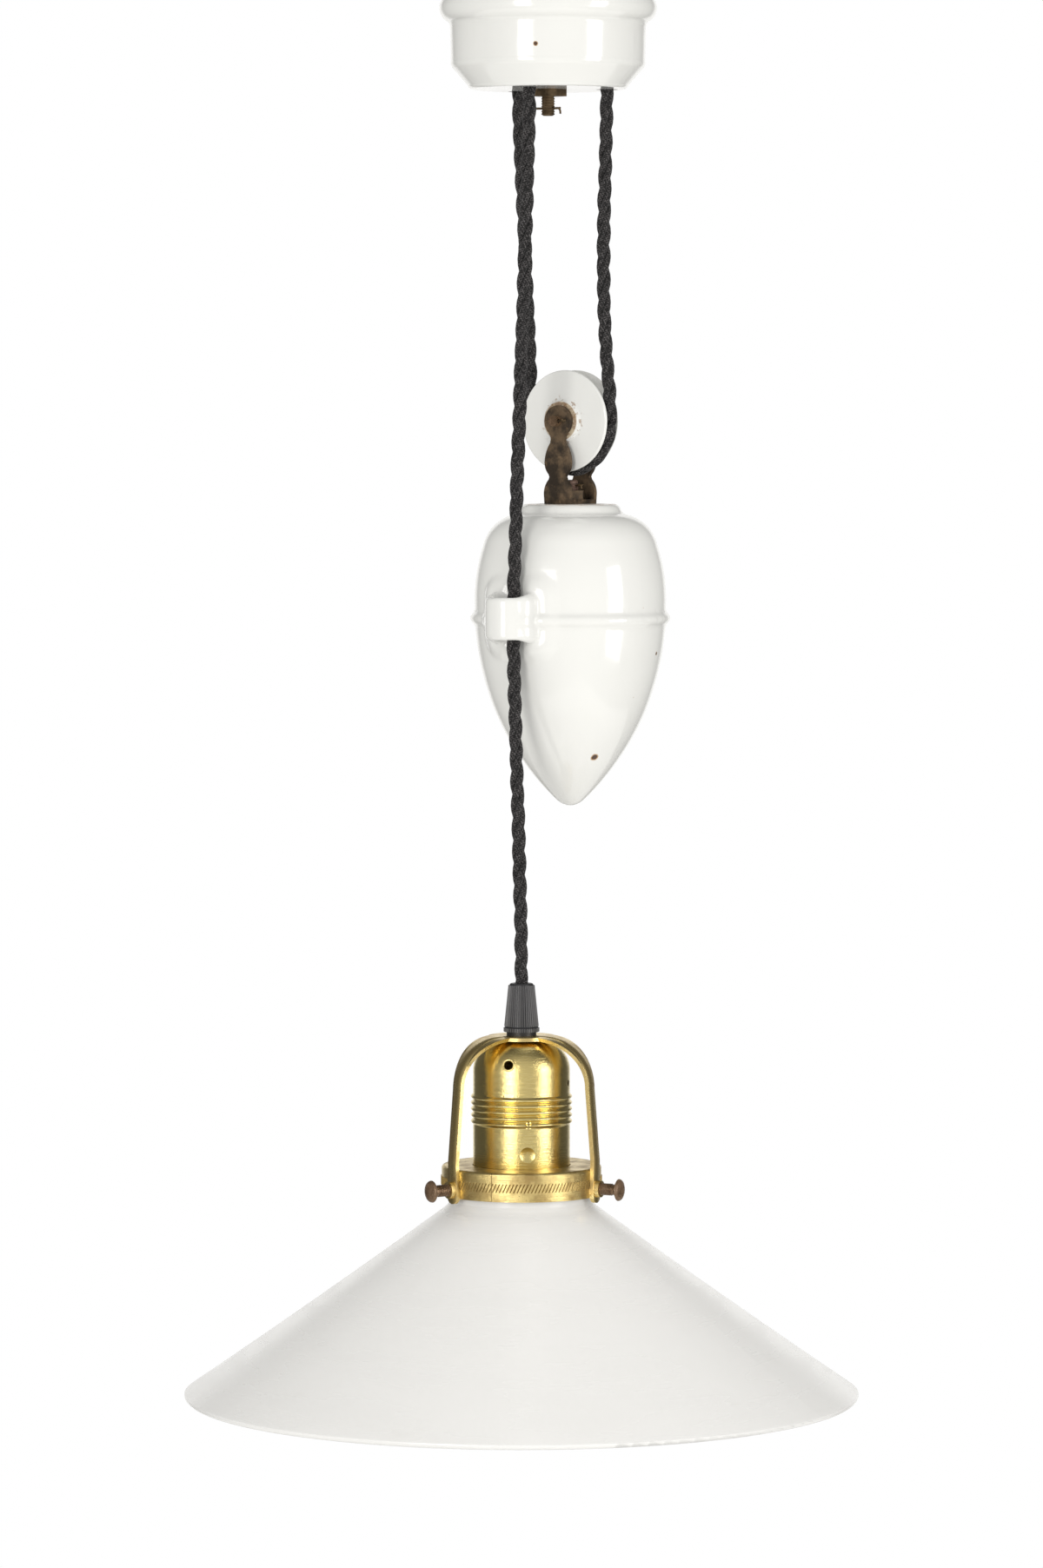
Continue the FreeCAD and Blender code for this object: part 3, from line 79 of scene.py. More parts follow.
class Channel:
    """A socket of one number that takes part in an expression; each operator adds a Math node."""

    def __init__(self, graph: "Tree", socket: bpy.types.NodeSocket) -> None:
        """Wrap one output socket of a graph."""
        self.graph = graph
        self.socket = socket

    def __add__(self, other: Any) -> "Channel":
        """Sum."""
        return self.graph.math("ADD", self, other)

    def __sub__(self, other: Any) -> "Channel":
        """Difference."""
        return self.graph.math("SUBTRACT", self, other)

    def __rsub__(self, other: Any) -> "Channel":
        """Difference from a number."""
        return self.graph.math("SUBTRACT", other, self)

    def __mul__(self, other: Any) -> "Channel":
        """Product."""
        return self.graph.math("MULTIPLY", self, other)

    def __truediv__(self, other: Any) -> "Channel":
        """Quotient."""
        return self.graph.math("DIVIDE", self, other)

    def __pow__(self, other: Any) -> "Channel":
        """Power."""
        return self.graph.math("POWER", self, other)

    __radd__ = __add__
    __rmul__ = __mul__

    def above(self, low: float, high: float) -> "Channel":
        """A mask that rises smoothly from 0 at low to 1 at high, or falls where low is larger.

        Args:
            low: Where the mask is 0.
            high: Where it is 1.

        Returns:
            The mask.
        """
        node = self.graph.node(
            "ShaderNodeMapRange",
            {"interpolation_type": "SMOOTHSTEP"},
            {"Value": self, "From Min": low, "From Max": high},
        )
        return Channel(self.graph, node.outputs["Result"])

    def sine(self) -> "Channel":
        """Sine of an angle in radians."""
        return self.graph.math("SINE", self)

    def larger(self, other: Any) -> "Channel":
        """The larger of two values."""
        return self.graph.math("MAXIMUM", self, other)


class Tree:
    """A node tree that is written as Python expressions."""

    def __init__(self, tree: bpy.types.NodeTree) -> None:
        """Empty a tree and hold it."""
        self.tree = tree
        self.tree.nodes.clear()

    def node(
        self,
        kind: str,
        settings: dict[str, Any] | None = None,
        values: dict[Any, Any] | None = None,
    ) -> bpy.types.Node:
        """Add a node.

        Args:
            kind: The node's type name.
            settings: Attributes that are set before its sockets.
            values: Socket name or index to a number, colour, Channel or socket.

        Returns:
            The new node.
        """
        made = self.tree.nodes.new(kind)
        for name, value in (settings or {}).items():
            setattr(made, name, value)
        for name, value in (values or {}).items():
            self.feed(made.inputs[name], value)
        return made

    def feed(self, socket: bpy.types.NodeSocket, value: Any) -> None:
        """Link a Channel or socket to an input, or set its value.

        Args:
            socket: The input.
            value: A Channel, socket, number, vector or colour.
        """
        if isinstance(value, Channel):
            value = value.socket
        if isinstance(value, bpy.types.NodeSocket):
            self.tree.links.new(value, socket)
        elif socket.type == "RGBA" and len(value) == 3:
            socket.default_value = (*value, 1.0)
        else:
            socket.default_value = value

    def math(self, operation: str, first: Any, second: Any = 0.0) -> Channel:
        """One Math node."""
        node = self.node("ShaderNodeMath", {"operation": operation}, {0: first, 1: second})
        return Channel(self, node.outputs[0])

    def mix(self, share: Any, first: Any, second: Any) -> bpy.types.NodeSocket:
        """A colour between two colours."""
        node = self.node("ShaderNodeMix", {"data_type": "RGBA"}, {0: share, 6: first, 7: second})
        return node.outputs[2]


class Graph(Tree):
    """The node tree of one material."""

    def __init__(self, name: str) -> None:
        """Start an empty material with its surface shader.

        Args:
            name: The material's name.
        """
        self.material = bpy.data.materials.new(name)
        self.material.use_nodes = True
        super().__init__(self.material.node_tree)
        self.shader = self.node("ShaderNodeBsdfPrincipled")
        self.node("ShaderNodeOutputMaterial", None, {"Surface": self.shader.outputs["BSDF"]})

    def place(self) -> bpy.types.NodeSocket:
        """The point of the surface in the row frame."""
        return self.node("ShaderNodeTexCoord").outputs["Object"]

    def moved(
        self,
        vector: Any,
        location: Point = (0.0, 0.0, 0.0),
        rotation: Point = (0.0, 0.0, 0.0),
        scale: Point = (1.0, 1.0, 1.0),
    ) -> bpy.types.NodeSocket:
        """A vector in a frame that is moved, turned and scaled.

        Args:
            vector: The vector.
            location: Where the frame's origin lies.
            rotation: How it is turned, in radians about X, Y and Z.
            scale: How long its units are.

        Returns:
            The vector in that frame.
        """
        node = self.node(
            "ShaderNodeMapping",
            {"vector_type": "TEXTURE"},
            {"Vector": vector, "Location": location, "Rotation": rotation, "Scale": scale},
        )
        return node.outputs["Vector"]

    def split(self, vector: Any) -> tuple[Channel, Channel, Channel]:
        """The three numbers of a vector."""
        node = self.node("ShaderNodeSeparateXYZ", None, {0: vector})
        return tuple(Channel(self, node.outputs[i]) for i in range(3))

    def distance(self, vector: Any, point: Point) -> Channel:
        """Distance from a point."""
        node = self.node("ShaderNodeVectorMath", {"operation": "DISTANCE"}, {0: vector, 1: point})
        return Channel(self, node.outputs["Value"])

    def noise(self, vector: Any, size: float, detail: float = 3.0, rough: float = 0.55) -> Channel:
        """Smooth noise whose blobs are about size metres across.

        Args:
            vector: Where it is read.
            size: How large its blobs are.
            detail: How many finer layers it has.
            rough: How strong they are.

        Returns:
            The noise, from 0 to 1.
        """
        node = self.node(
            "ShaderNodeTexNoise",
            None,
            {"Vector": vector, "Scale": 1.0 / size, "Detail": detail, "Roughness": rough},
        )
        return Channel(self, node.outputs["Fac"])

    def specks(self, vector: Any, spacing: float) -> Channel:
        """Distance from scattered points, in shares of their spacing.

        Args:
            vector: Where it is read.
            spacing: How far apart the points are, in metres.

        Returns:
            The distance.
        """
        node = self.node(
            "ShaderNodeTexVoronoi", {"feature": "F1"}, {"Vector": vector, "Scale": 1.0 / spacing}
        )
        return Channel(self, node.outputs["Distance"])

    def bump(self, height: Channel, depth: float) -> bpy.types.NodeSocket:
        """A normal from a height of 0 to 1 that stands for depth metres."""
        raised = self.node("ShaderNodeBump", None, {"Distance": depth, "Height": height})
        return raised.outputs["Normal"]

    def finish(self, **sockets: Any) -> bpy.types.Material:
        """Feed the surface shader and hand the material over.

        Args:
            sockets: The shader's inputs, with underscores for spaces.

        Returns:
            The material.
        """
        for name, value in sockets.items():
            self.feed(self.shader.inputs[name.replace("_", " ")], value)
        return self.material


# --------------------------------------------------------------------------------------------
# Finishes


@dataclass(frozen=True)
class Pit:
    """A small burnt hole in a glaze."""

    place: Point
    radius: float


@dataclass(frozen=True)
class Glaze:
    """Glossy porcelain, a little uneven, with pits and bare clay where the glaze ends."""

    name: str
    colour: Colour = (0.80, 0.80, 0.77)
    clay: Colour = (0.42, 0.27, 0.15)
    pit_dark: Colour = (0.06, 0.025, 0.012)
    pit_ring: Colour = (0.45, 0.27, 0.12)
    pits: tuple[Pit, ...] = ()
    bare_above: float | None = None

    def material(self) -> bpy.types.Material:
        """Build the finish.

        Returns:
            The material.
        """
        g = Graph(self.name)
        p = g.place()
        tone = g.mix(g.noise(p, 0.03, 2.0), self.colour, toned(self.colour, 0.96))
        dots = (1 - g.specks(p, 0.011).above(0.02, 0.05)) * g.noise(p, 0.02).above(0.5, 0.6)
        colour = g.mix(dots * 0.5, tone, self.clay)
        height = g.noise(p, 0.012, 1.0) * 0.9
        rough = 0.1 + g.noise(p, 0.02, 2.0) * 0.08
        if self.bare_above is not None:
            _, _, z = g.split(p)
            edge = z + (g.noise(p, 0.004) - 0.5) * 0.0016
            bare = edge.above(self.bare_above - 0.0003, self.bare_above + 0.0003)
            colour = g.mix(bare, colour, g.mix(g.noise(p, 0.002), self.clay, self.colour))
            rough = rough + bare * 0.5
        for pit in self.pits:
            away = g.distance(p, pit.place) + (g.noise(p, pit.radius) - 0.5) * pit.radius * 0.5
            colour = g.mix(1 - away.above(pit.radius, pit.radius * 1.5), colour, self.pit_ring)
            core = 1 - away.above(pit.radius * 0.7, pit.radius)
            colour = g.mix(core, colour, self.pit_dark)
            height = height - core * 2.0
        return g.finish(
            Base_Color=colour,
            Roughness=rough,
            Normal=g.bump(height, 0.00022),
            Coat_Weight=0.6,
            Coat_Roughness=0.03,
            IOR=1.5,
        )


@dataclass(frozen=True)
class PulleyGlaze:
    """Glazed porcelain whose hub is stained by rust and grease from its axle."""

    name: str
    centre: Point
    yaw: float
    hub_radius: float
    colour: Colour = (0.80, 0.80, 0.77)
    stain: Colour = (0.52, 0.41, 0.25)
    rust: Colour = (0.26, 0.13, 0.04)

    def material(self) -> bpy.types.Material:
        """Build the finish.

        Returns:
            The material.
        """
        g = Graph(self.name)
        p = g.moved(g.place(), self.centre, (0.0, 0.0, self.yaw))
        x, _, z = g.split(p)
        radius = (x * x + z * z) ** 0.5
        near = 1 - radius.above(self.hub_radius * 0.97, self.hub_radius * 1.03)
        halo = 1 - radius.above(self.hub_radius * 1.05, self.hub_radius * 1.45)
        spots = g.noise(p, 0.0016, 4.0).above(0.55, 0.68)
        tone = g.mix(g.noise(p, 0.02, 2.0), self.colour, toned(self.colour, 0.95))
        dirty = g.mix(g.noise(p, 0.0011, 5.0).above(0.4, 0.62), self.stain, self.rust)
        colour = g.mix(halo * spots * 0.75, tone, self.rust)
        colour = g.mix(near * 0.85, colour, dirty)
        return g.finish(
            Base_Color=colour,
            Roughness=0.12 + near * 0.45 + g.noise(p, 0.01) * 0.06,
            Normal=g.bump(g.noise(p, 0.0012, 4.0) * near + g.noise(p, 0.012, 1.0) * 0.8, 0.0002),
            Coat_Weight=(1 - near) * 0.5,
            Coat_Roughness=0.04,
            IOR=1.5,
        )


@dataclass(frozen=True)
class OpalGlass:
    """White glass, glossy, with faint streaks from its making."""

    name: str
    colour: Colour = (0.80, 0.795, 0.775)

    def material(self) -> bpy.types.Material:
        """Build the finish.

        Returns:
            The material.
        """
        g = Graph(self.name)
        p = g.place()
        around = g.moved(p, LAMP_AXIS, scale=(1.0, 1.0, 0.12))
        streaks = g.noise(around, 0.05, 3.0).above(0.35, 0.7)
        dirt = g.noise(p, 0.016, 5.0).above(0.6, 0.78) * 0.3
        specks = (1 - g.specks(p, 0.045).above(0.008, 0.016)) * 0.6
        colour = g.mix(streaks * 0.35, self.colour, toned(self.colour, 0.96))
        colour = g.mix(dirt * 0.35, colour, (0.66, 0.64, 0.60))
        colour = g.mix(specks, colour, (0.30, 0.24, 0.18))
        return g.finish(
            Base_Color=colour,
            Roughness=0.24 + streaks * 0.08,
            Normal=g.bump(g.noise(p, 0.02, 1.0), 0.00015),
            Coat_Weight=0.15,
            Coat_Roughness=0.12,
            IOR=1.48,
            Subsurface_Weight=0.25,
            Subsurface_Radius=(0.006, 0.006, 0.006),
            Subsurface_Scale=1.0,
        )


@dataclass(frozen=True)
class Brass:
    """Brass turned or pressed about the lamp's axis, bright or with age."""

    name: str
    colour: Colour
    stain: Colour
    rough: float
    stained: float
    lines: float = 0.4
    seam: float | None = None
    dimples: tuple[Pit, ...] = ()
    arms: bool = False
    arm_lead: float = 116.0
    arm_half: float = 0.0028

    def material(self) -> bpy.types.Material:
        """Build the finish.

        Returns:
            The material.
        """
        g = Graph(self.name)
        p = g.moved(g.place(), LAMP_AXIS)
        x, y, z = g.split(p)
        blotch = g.noise(p, 0.007, 4.0, 0.6)
        grain = g.noise(p, 0.0007, 3.0)
        turning = g.noise(g.moved(p, scale=(12.0, 12.0, 0.1)), 0.002, 3.0)
        scratch = g.noise(g.moved(p, rotation=(0.4, 0.7, 0.0), scale=(1.0, 1.0, 0.04)), 0.0006)
        old = blotch.above(0.62 - self.stained * 0.3, 0.86 - self.stained * 0.2)
        spots = g.noise(p, 0.0016, 3.0).above(0.72, 0.8)
        colour = g.mix(old * self.stained, self.colour, self.stain)
        colour = g.mix(spots * self.stained, colour, toned(self.stain, 0.4))
        height = grain * 0.4 + turning * self.lines + scratch.above(0.72, 0.78) * 0.6
        rough = self.rough + grain * 0.07 + old * self.stained * 0.2
        if self.seam is not None:
            line = g.math("ABSOLUTE", g.math("ARCTAN2", y, x) - self.seam)
            crack = 1 - line.above(0.004, 0.008)
            colour = g.mix(crack * 0.7, colour, self.stain)
            height = height - crack
        if self.arms:
            heading = g.math("ARCTAN2", y, x) + math.radians(self.arm_lead) + math.tau
            third = g.math("MODULO", heading + math.pi / 3, math.tau / 3) - math.pi / 3
            across = (x * x + y * y) ** 0.5 * third.sine() / self.arm_half
            height = height * 0.25 - g.math("MINIMUM", across * across, 1.6) * 3.2
        for dimple in self.dimples:
            away = g.distance(p, dimple.place) / dimple.radius
            height = height - (1 - g.math("MINIMUM", away * away, 1.0)) * 4.5
        return g.finish(
            Base_Color=colour,
            Metallic=1.0,
            Roughness=rough,
            Normal=g.bump(height, 0.00018),
        )


@dataclass(frozen=True)
class OldIron:
    """Dark iron with brown rust in its hollows and on its flats."""

    name: str
    colour: Colour = (0.068, 0.052, 0.038)
    rust: Colour = (0.200, 0.130, 0.068)
    amount: float = 0.6
    rough: float = 0.48

    def material(self) -> bpy.types.Material:
        """Build the finish.

        Returns:
            The material.
        """
        g = Graph(self.name)
        p = g.place()
        patch = g.noise(p, 0.006, 4.0, 0.6).above(0.38, 0.66)
        grit = g.noise(p, 0.0006, 4.0, 0.65)
        ochre = g.noise(p, 0.0025, 3.0).above(0.6, 0.75)
        colour = g.mix(patch * self.amount, self.colour, self.rust)
        colour = g.mix(ochre * self.amount * 0.5, colour, toned(self.rust, 1.7))
        return g.finish(
            Base_Color=colour,
            Metallic=0.75 - patch * 0.5,
            Roughness=self.rough + grit * 0.2 + patch * 0.12,
            Normal=g.bump(grit + patch * 0.8, 0.00012),
        )


@dataclass(frozen=True)
class Moulded:
    """Plastic, fibre or bare clay with a fine grain."""

    name: str
    colour: Colour
    rough: float = 0.45
    grain: float = 0.0005
    uneven: float = 0.15

    def material(self) -> bpy.types.Material:
        """Build the finish.

        Returns:
            The material.
        """
        g = Graph(self.name)
        p = g.place()
        tone = g.noise(p, self.grain * 6, 3.0)
        low, high = (toned(self.colour, 1 + sign * self.uneven) for sign in (-1, 1))
        colour = g.mix(tone, low, high)
        return g.finish(
            Base_Color=colour,
            Roughness=self.rough + tone * 0.1,
            Normal=g.bump(g.noise(p, self.grain, 3.0), 0.00008),
        )


@dataclass(frozen=True)
class CottonBraid:
    """Black cotton braided over each core; it reads the strand's own map, in metres."""

    name: str
    colour: Colour = (0.0105, 0.0100, 0.0100)
    thread: Colour = (0.20, 0.185, 0.185)
    stitch: float = 0.0011
    carriers: float = 5.0

    def material(self) -> bpy.types.Material:
        """Build the finish.

        Returns:
            The material.
        """
        g = Graph(self.name)
        u, v, _ = g.split(g.node("ShaderNodeUVMap", {"uv_map": "strand"}).outputs["UV"])
        along, around = u * (math.tau / self.stitch), v * (math.tau * self.carriers)
        weave = (along + around).sine().larger((along - around).sine()) * 0.5 + 0.5
        fibre = g.noise(g.place(), 0.00022, 2.0)
        lint = g.noise(g.place(), 0.0011, 3.0)
        bright = weave.above(0.5, 0.95) * fibre.above(0.46, 0.62) * lint.above(0.38, 0.55)
        colour = g.mix(bright * 0.9, self.colour, self.thread)
        return g.finish(
            Base_Color=colour,
            Roughness=0.78 + fibre * 0.15,
            Normal=g.bump(weave * 0.8 + fibre * 0.5, 0.00016),
            Sheen_Weight=0.12,
            Sheen_Roughness=0.5,
            Specular_IOR_Level=0.25,
        )


PORCELAIN = Glaze(
    "cup_porcelain",
    pits=(
        Pit((-0.0153, -0.0373, -0.0058), 0.0009),
        Pit((0.0148, -0.0358, -0.0211), 0.0008),
        Pit((0.0402, 0.0019, -0.0078), 0.0007),
    ),
    bare_above=-0.0012,
)
WEIGHT_PORCELAIN = Glaze(
    "weight_porcelain",
    pits=(Pit((0.0173, 0.0070, -0.3010), 0.0013), Pit((0.0363, 0.0231, -0.2600), 0.0006)),
    bare_above=-0.2011,
)
PULLEY_PORCELAIN = PulleyGlaze("pulley_porcelain", (0.0, 0.018, -0.1678), math.radians(-5), 0.0078)
BARE_PORCELAIN = Moulded("bare_porcelain", (0.74, 0.72, 0.67), 0.5, 0.0008)
OPAL = OpalGlass("opal_glass")
BRIGHT_BRASS = Brass("bright_brass", (0.87, 0.70, 0.29), (0.36, 0.24, 0.07), 0.10, 0.25)
HOLDER_BRASS = Brass(
    "holder_brass",
    (0.87, 0.70, 0.29),
    (0.36, 0.24, 0.07),
    0.10,
    0.25,
    dimples=(Pit((0.0116, -0.0153, -0.4558), 0.0030), Pit((0.0119, -0.0151, -0.4441), 0.0015)),
)
RING_BRASS = Brass(
    "ring_brass", (0.78, 0.61, 0.26), (0.34, 0.22, 0.08), 0.25, 0.75, 0.7, seam=math.radians(-82)
)
KNURL_BRASS = Brass("knurl_brass", (0.36, 0.25, 0.09), (0.16, 0.10, 0.04), 0.34, 0.5)
ARM_BRASS = Brass("arm_brass", (0.84, 0.65, 0.28), (0.42, 0.26, 0.09), 0.24, 0.6, 0.3, arms=True)
YOKE_IRON = OldIron("yoke_iron", amount=0.75)
FITTING_IRON = OldIron("fitting_iron", (0.075, 0.050, 0.026), (0.18, 0.115, 0.05), 0.6, 0.34)
STEM_STEEL = OldIron("stem_steel", (0.17, 0.115, 0.095), (0.19, 0.10, 0.06), 0.5, 0.34)
SCREW_IRON = OldIron("screw_iron", (0.19, 0.120, 0.070), (0.19, 0.11, 0.06), 0.3, 0.08)
SHOT_IRON = OldIron("shot", (0.12, 0.12, 0.12), (0.16, 0.13, 0.10), 0.2, 0.6)
GRIP_PLASTIC = Moulded("grip_plastic", (0.026, 0.026, 0.028), 0.34)
# Painted highlight: the cord grip's ribs and teeth are its own black plastic, painted lighter as
# the light on their tops.
GRIP_RIB_HIGHLIGHT = Moulded("grip_ridge", (0.115, 0.113, 0.115), 0.28)
FIBRE = Moulded("fibre", (0.22, 0.07, 0.045), 0.6)
COTTON = CottonBraid("cotton_braid")

NODE_FINISHES: dict[Any, tuple[str, ...]] = {
    PORCELAIN: ("ceiling_cup",),
    PULLEY_PORCELAIN: ("pulley_wheel",),
    BARE_PORCELAIN: (
        "return_roller",
        "lamp_roller",
        "terminal_block",
        "lampholder_insert",
        "weight_plug",
    ),
    OPAL: ("shade",),
    BRIGHT_BRASS: ("lampholder_cap", "screw_shell", "centre_contact", "terminal_screws"),
    RING_BRASS: ("gallery_ring", "entry_nipple", "lock_nut"),
    ARM_BRASS: ("gallery_bracket",),
    YOKE_IRON: ("stem_nut", "roller_frame"),
    SCREW_IRON: ("pulley_axle", "gallery_screw_1", "gallery_screw_2", "gallery_screw_3"),
    STEM_STEEL: ("weight_stem",),
    FITTING_IRON: (
        "ceiling_plate",
        "ceiling_stud",
        "plate_nut",
        "cup_nut",
        "frame_nut",
        "roller_pins",
    ),
    SHOT_IRON: ("weight_fill",),
    FIBRE: ("cord_cleat",),
    GRIP_PLASTIC: ("cord_grip",),
}


class Wardrobe:
    """Makes each finish once and puts it on pieces."""

    def __init__(self) -> None:
        """Start with no materials."""
        self.made: dict[str, bpy.types.Material] = {}

    def material(self, finish: Any) -> bpy.types.Material:
        """The material of a finish, made when it is first asked for.

        Args:
            finish: The finish.

        Returns:
            Its material.
        """
        if finish.name not in self.made:
            self.made[finish.name] = finish.material()
        return self.made[finish.name]

    def dress(self, piece: bpy.types.Object, finish: Any) -> None:
        """Give a piece one finish all over."""
        piece.data.materials.clear()
        piece.data.materials.append(self.material(finish))

    def dress_nodes(self) -> None:
        """Give every CAD node that stays its finish."""
        for finish, names in NODE_FINISHES.items():
            for name in names:
                self.dress(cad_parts[name], finish)
                log.info("%s: %s", name, finish.name)


# --------------------------------------------------------------------------------------------
# Meshes


def stood(name: str, data: Any) -> bpy.types.Object:
    """A new object in the scene."""
    made = bpy.data.objects.new(name, data)
    bpy.context.scene.collection.objects.link(made)
    return made


def piece_from(name: str, mesh: bpy.types.Mesh, body: str) -> bpy.types.Object:
    """A new object of the pendant, riding on a body.

    Args:
        name: The piece's name.
        mesh: Its mesh, in the row frame.
        body: The CAD body it moves with.

    Returns:
        The object.
    """
    made = stood(name, mesh)
    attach(made, body)
    return made


def baked(thing: bpy.types.Object) -> bpy.types.Mesh:
    """The evaluated mesh of an object, which is then removed.

    Args:
        thing: The object, with its modifiers.

    Returns:
        Its mesh.
    """
    bpy.context.view_layer.update()
    settled = thing.evaluated_get(bpy.context.evaluated_depsgraph_get())
    mesh = bpy.data.meshes.new_from_object(settled)
    bpy.data.objects.remove(thing)
    return mesh


def shade(mesh: bpy.types.Mesh, angle: float = 40.0) -> bpy.types.Mesh:
    """Shade a mesh smooth, with edges sharper than angle degrees kept.

    Args:
        mesh: The mesh.
        angle: The sharpest angle that is smoothed.

    Returns:
        The same mesh.
    """
    mesh.shade_smooth()
    mesh.set_sharp_from_angle(angle=math.radians(angle))
    return mesh


def smooth_curve(name: str, points: list[Point], steps: int) -> bpy.types.Curve:
    """A smooth open curve that is drawn towards points.

    Args:
        name: The curve's name.
        points: Its control points, in millimetres.
        steps: How many straight steps it has between two of them.

    Returns:
        The curve, in metres.
    """
    curve = bpy.data.curves.new(name, "CURVE")
    curve.dimensions = "3D"
    curve.resolution_u = steps
    spline = curve.splines.new("NURBS")
    spline.points.add(len(points) - 1)
    for point, place in zip(spline.points, points):
        point.co = (*(c * MM for c in place), 1.0)
    spline.order_u = 3
    spline.use_endpoint_u = True
    return curve


class Side(Enum):
    """Which side of the way along an outline an arc's centre lies on."""

    STRAIGHT = 0
    LEFT = 1
    RIGHT = -1


@dataclass(frozen=True)
class Corner:
    """An outline's corner in millimetres: (across, up), after a straight side or an arc."""

    across: float
    up: float
    radius: float = 0.0
    side: Side = Side.STRAIGHT


def traced(corners: tuple[Corner, ...], step: float = 0.5) -> list[tuple[float, float]]:
    """Points along an open outline, its arcs cut into steps of about step millimetres.

    Args:
        corners: The outline's corners.
        step: How long an arc's steps are.

    Returns:
        Its points, in millimetres.
    """
    points = [(corners[0].across, corners[0].up)]
    for before, corner in zip(corners, corners[1:]):
        start, end = Vector((before.across, before.up)), Vector((corner.across, corner.up))
        if corner.side is Side.STRAIGHT:
            points.append(tuple(end))
            continue
        chord = end - start
        normal = Vector((-chord.y, chord.x)).normalized() * corner.side.value
        reach = math.sqrt(max(corner.radius**2 - (chord.length / 2) ** 2, 0.0))
        centre = (start + end) / 2 + normal * reach
        first = math.atan2(start.y - centre.y, start.x - centre.x)
        sweep = 2 * math.asin(min(1.0, chord.length / 2 / corner.radius)) * corner.side.value
        count = max(2, math.ceil(abs(sweep) * corner.radius / step))
        for angle in (first + sweep * i / count for i in range(1, count + 1)):
            out = Vector((math.cos(angle), math.sin(angle))) * corner.radius
            points.append(tuple(centre + out))
    return points


def turned(name: str, outline: list[tuple[float, float]], segments: int = 128) -> bpy.types.Mesh:
    """A closed mesh turned about Z from an outline of (radius, height) in millimetres.

    Args:
        name: The mesh's name.
        outline: Its points, from one end on the axis to the other, or a closed loop off the axis.
        segments: How many sides it has round the axis.

    Returns:
        The mesh, in metres.
    """
    open_ended = outline[0][0] < 1e-6 and outline[-1][0] < 1e-6
    ring_points = outline[1:-1] if open_ended else outline
    vertices: list[Point] = []
    for radius, height in ring_points:
        for i in range(segments):
            angle = math.tau * i / segments
            vertices.append((radius * math.cos(angle), radius * math.sin(angle), height))
    rings = len(ring_points)
    faces: list[tuple[int, ...]] = []
    for j in range(rings - 1 if open_ended else rings):
        low, high = j * segments, (j + 1) % rings * segments
        for i in range(segments):
            k = (i + 1) % segments
            faces.append((low + i, low + k, high + k, high + i))
    if open_ended:
        for end, ring in ((outline[0], 0), (outline[-1], (rings - 1) * segments)):
            pole = len(vertices)
            vertices.append((0.0, 0.0, end[1]))
            for i in range(segments):
                pair = (ring + (i + 1) % segments, ring + i)
                faces.append((pole, *(pair if ring == 0 else reversed(pair))))
    mesh = bpy.data.meshes.new(name)
    mesh.from_pydata([tuple(c * MM for c in v) for v in vertices], [], faces)
    outward(mesh)
    return mesh


def prism(name: str, low: list[Point], high: list[Point]) -> bpy.types.Mesh:
    """A closed mesh between two outlines that have as many corners.

    Args:
        name: The mesh's name.
        low: Corners of one end, in millimetres.
        high: Corners of the other end.

    Returns:
        The mesh, in metres.
    """
    count = len(low)
    sides = [(i, (i + 1) % count, (i + 1) % count + count, i + count) for i in range(count)]
    ends = [tuple(reversed(range(count))), tuple(range(count, 2 * count))]
    mesh = bpy.data.meshes.new(name)
    mesh.from_pydata([tuple(c * MM for c in corner) for corner in (*low, *high)], [], sides + ends)
    outward(mesh)
    return mesh


def outward(mesh: bpy.types.Mesh) -> None:
    """Merge doubles and turn every face of a closed mesh outwards.

    Args:
        mesh: The mesh, which is changed.
    """
    shape = bmesh.new()
    shape.from_mesh(mesh)
    bmesh.ops.remove_doubles(shape, verts=shape.verts, dist=1e-7)
    bmesh.ops.recalc_face_normals(shape, faces=shape.faces)
    shape.to_mesh(mesh)
    shape.free()


# --------------------------------------------------------------------------------------------
# Repeats by Geometry Nodes


class Repeat(Enum):
    """How copies of a part are laid out."""

    ROUND = "round"
    STACK = "stack"


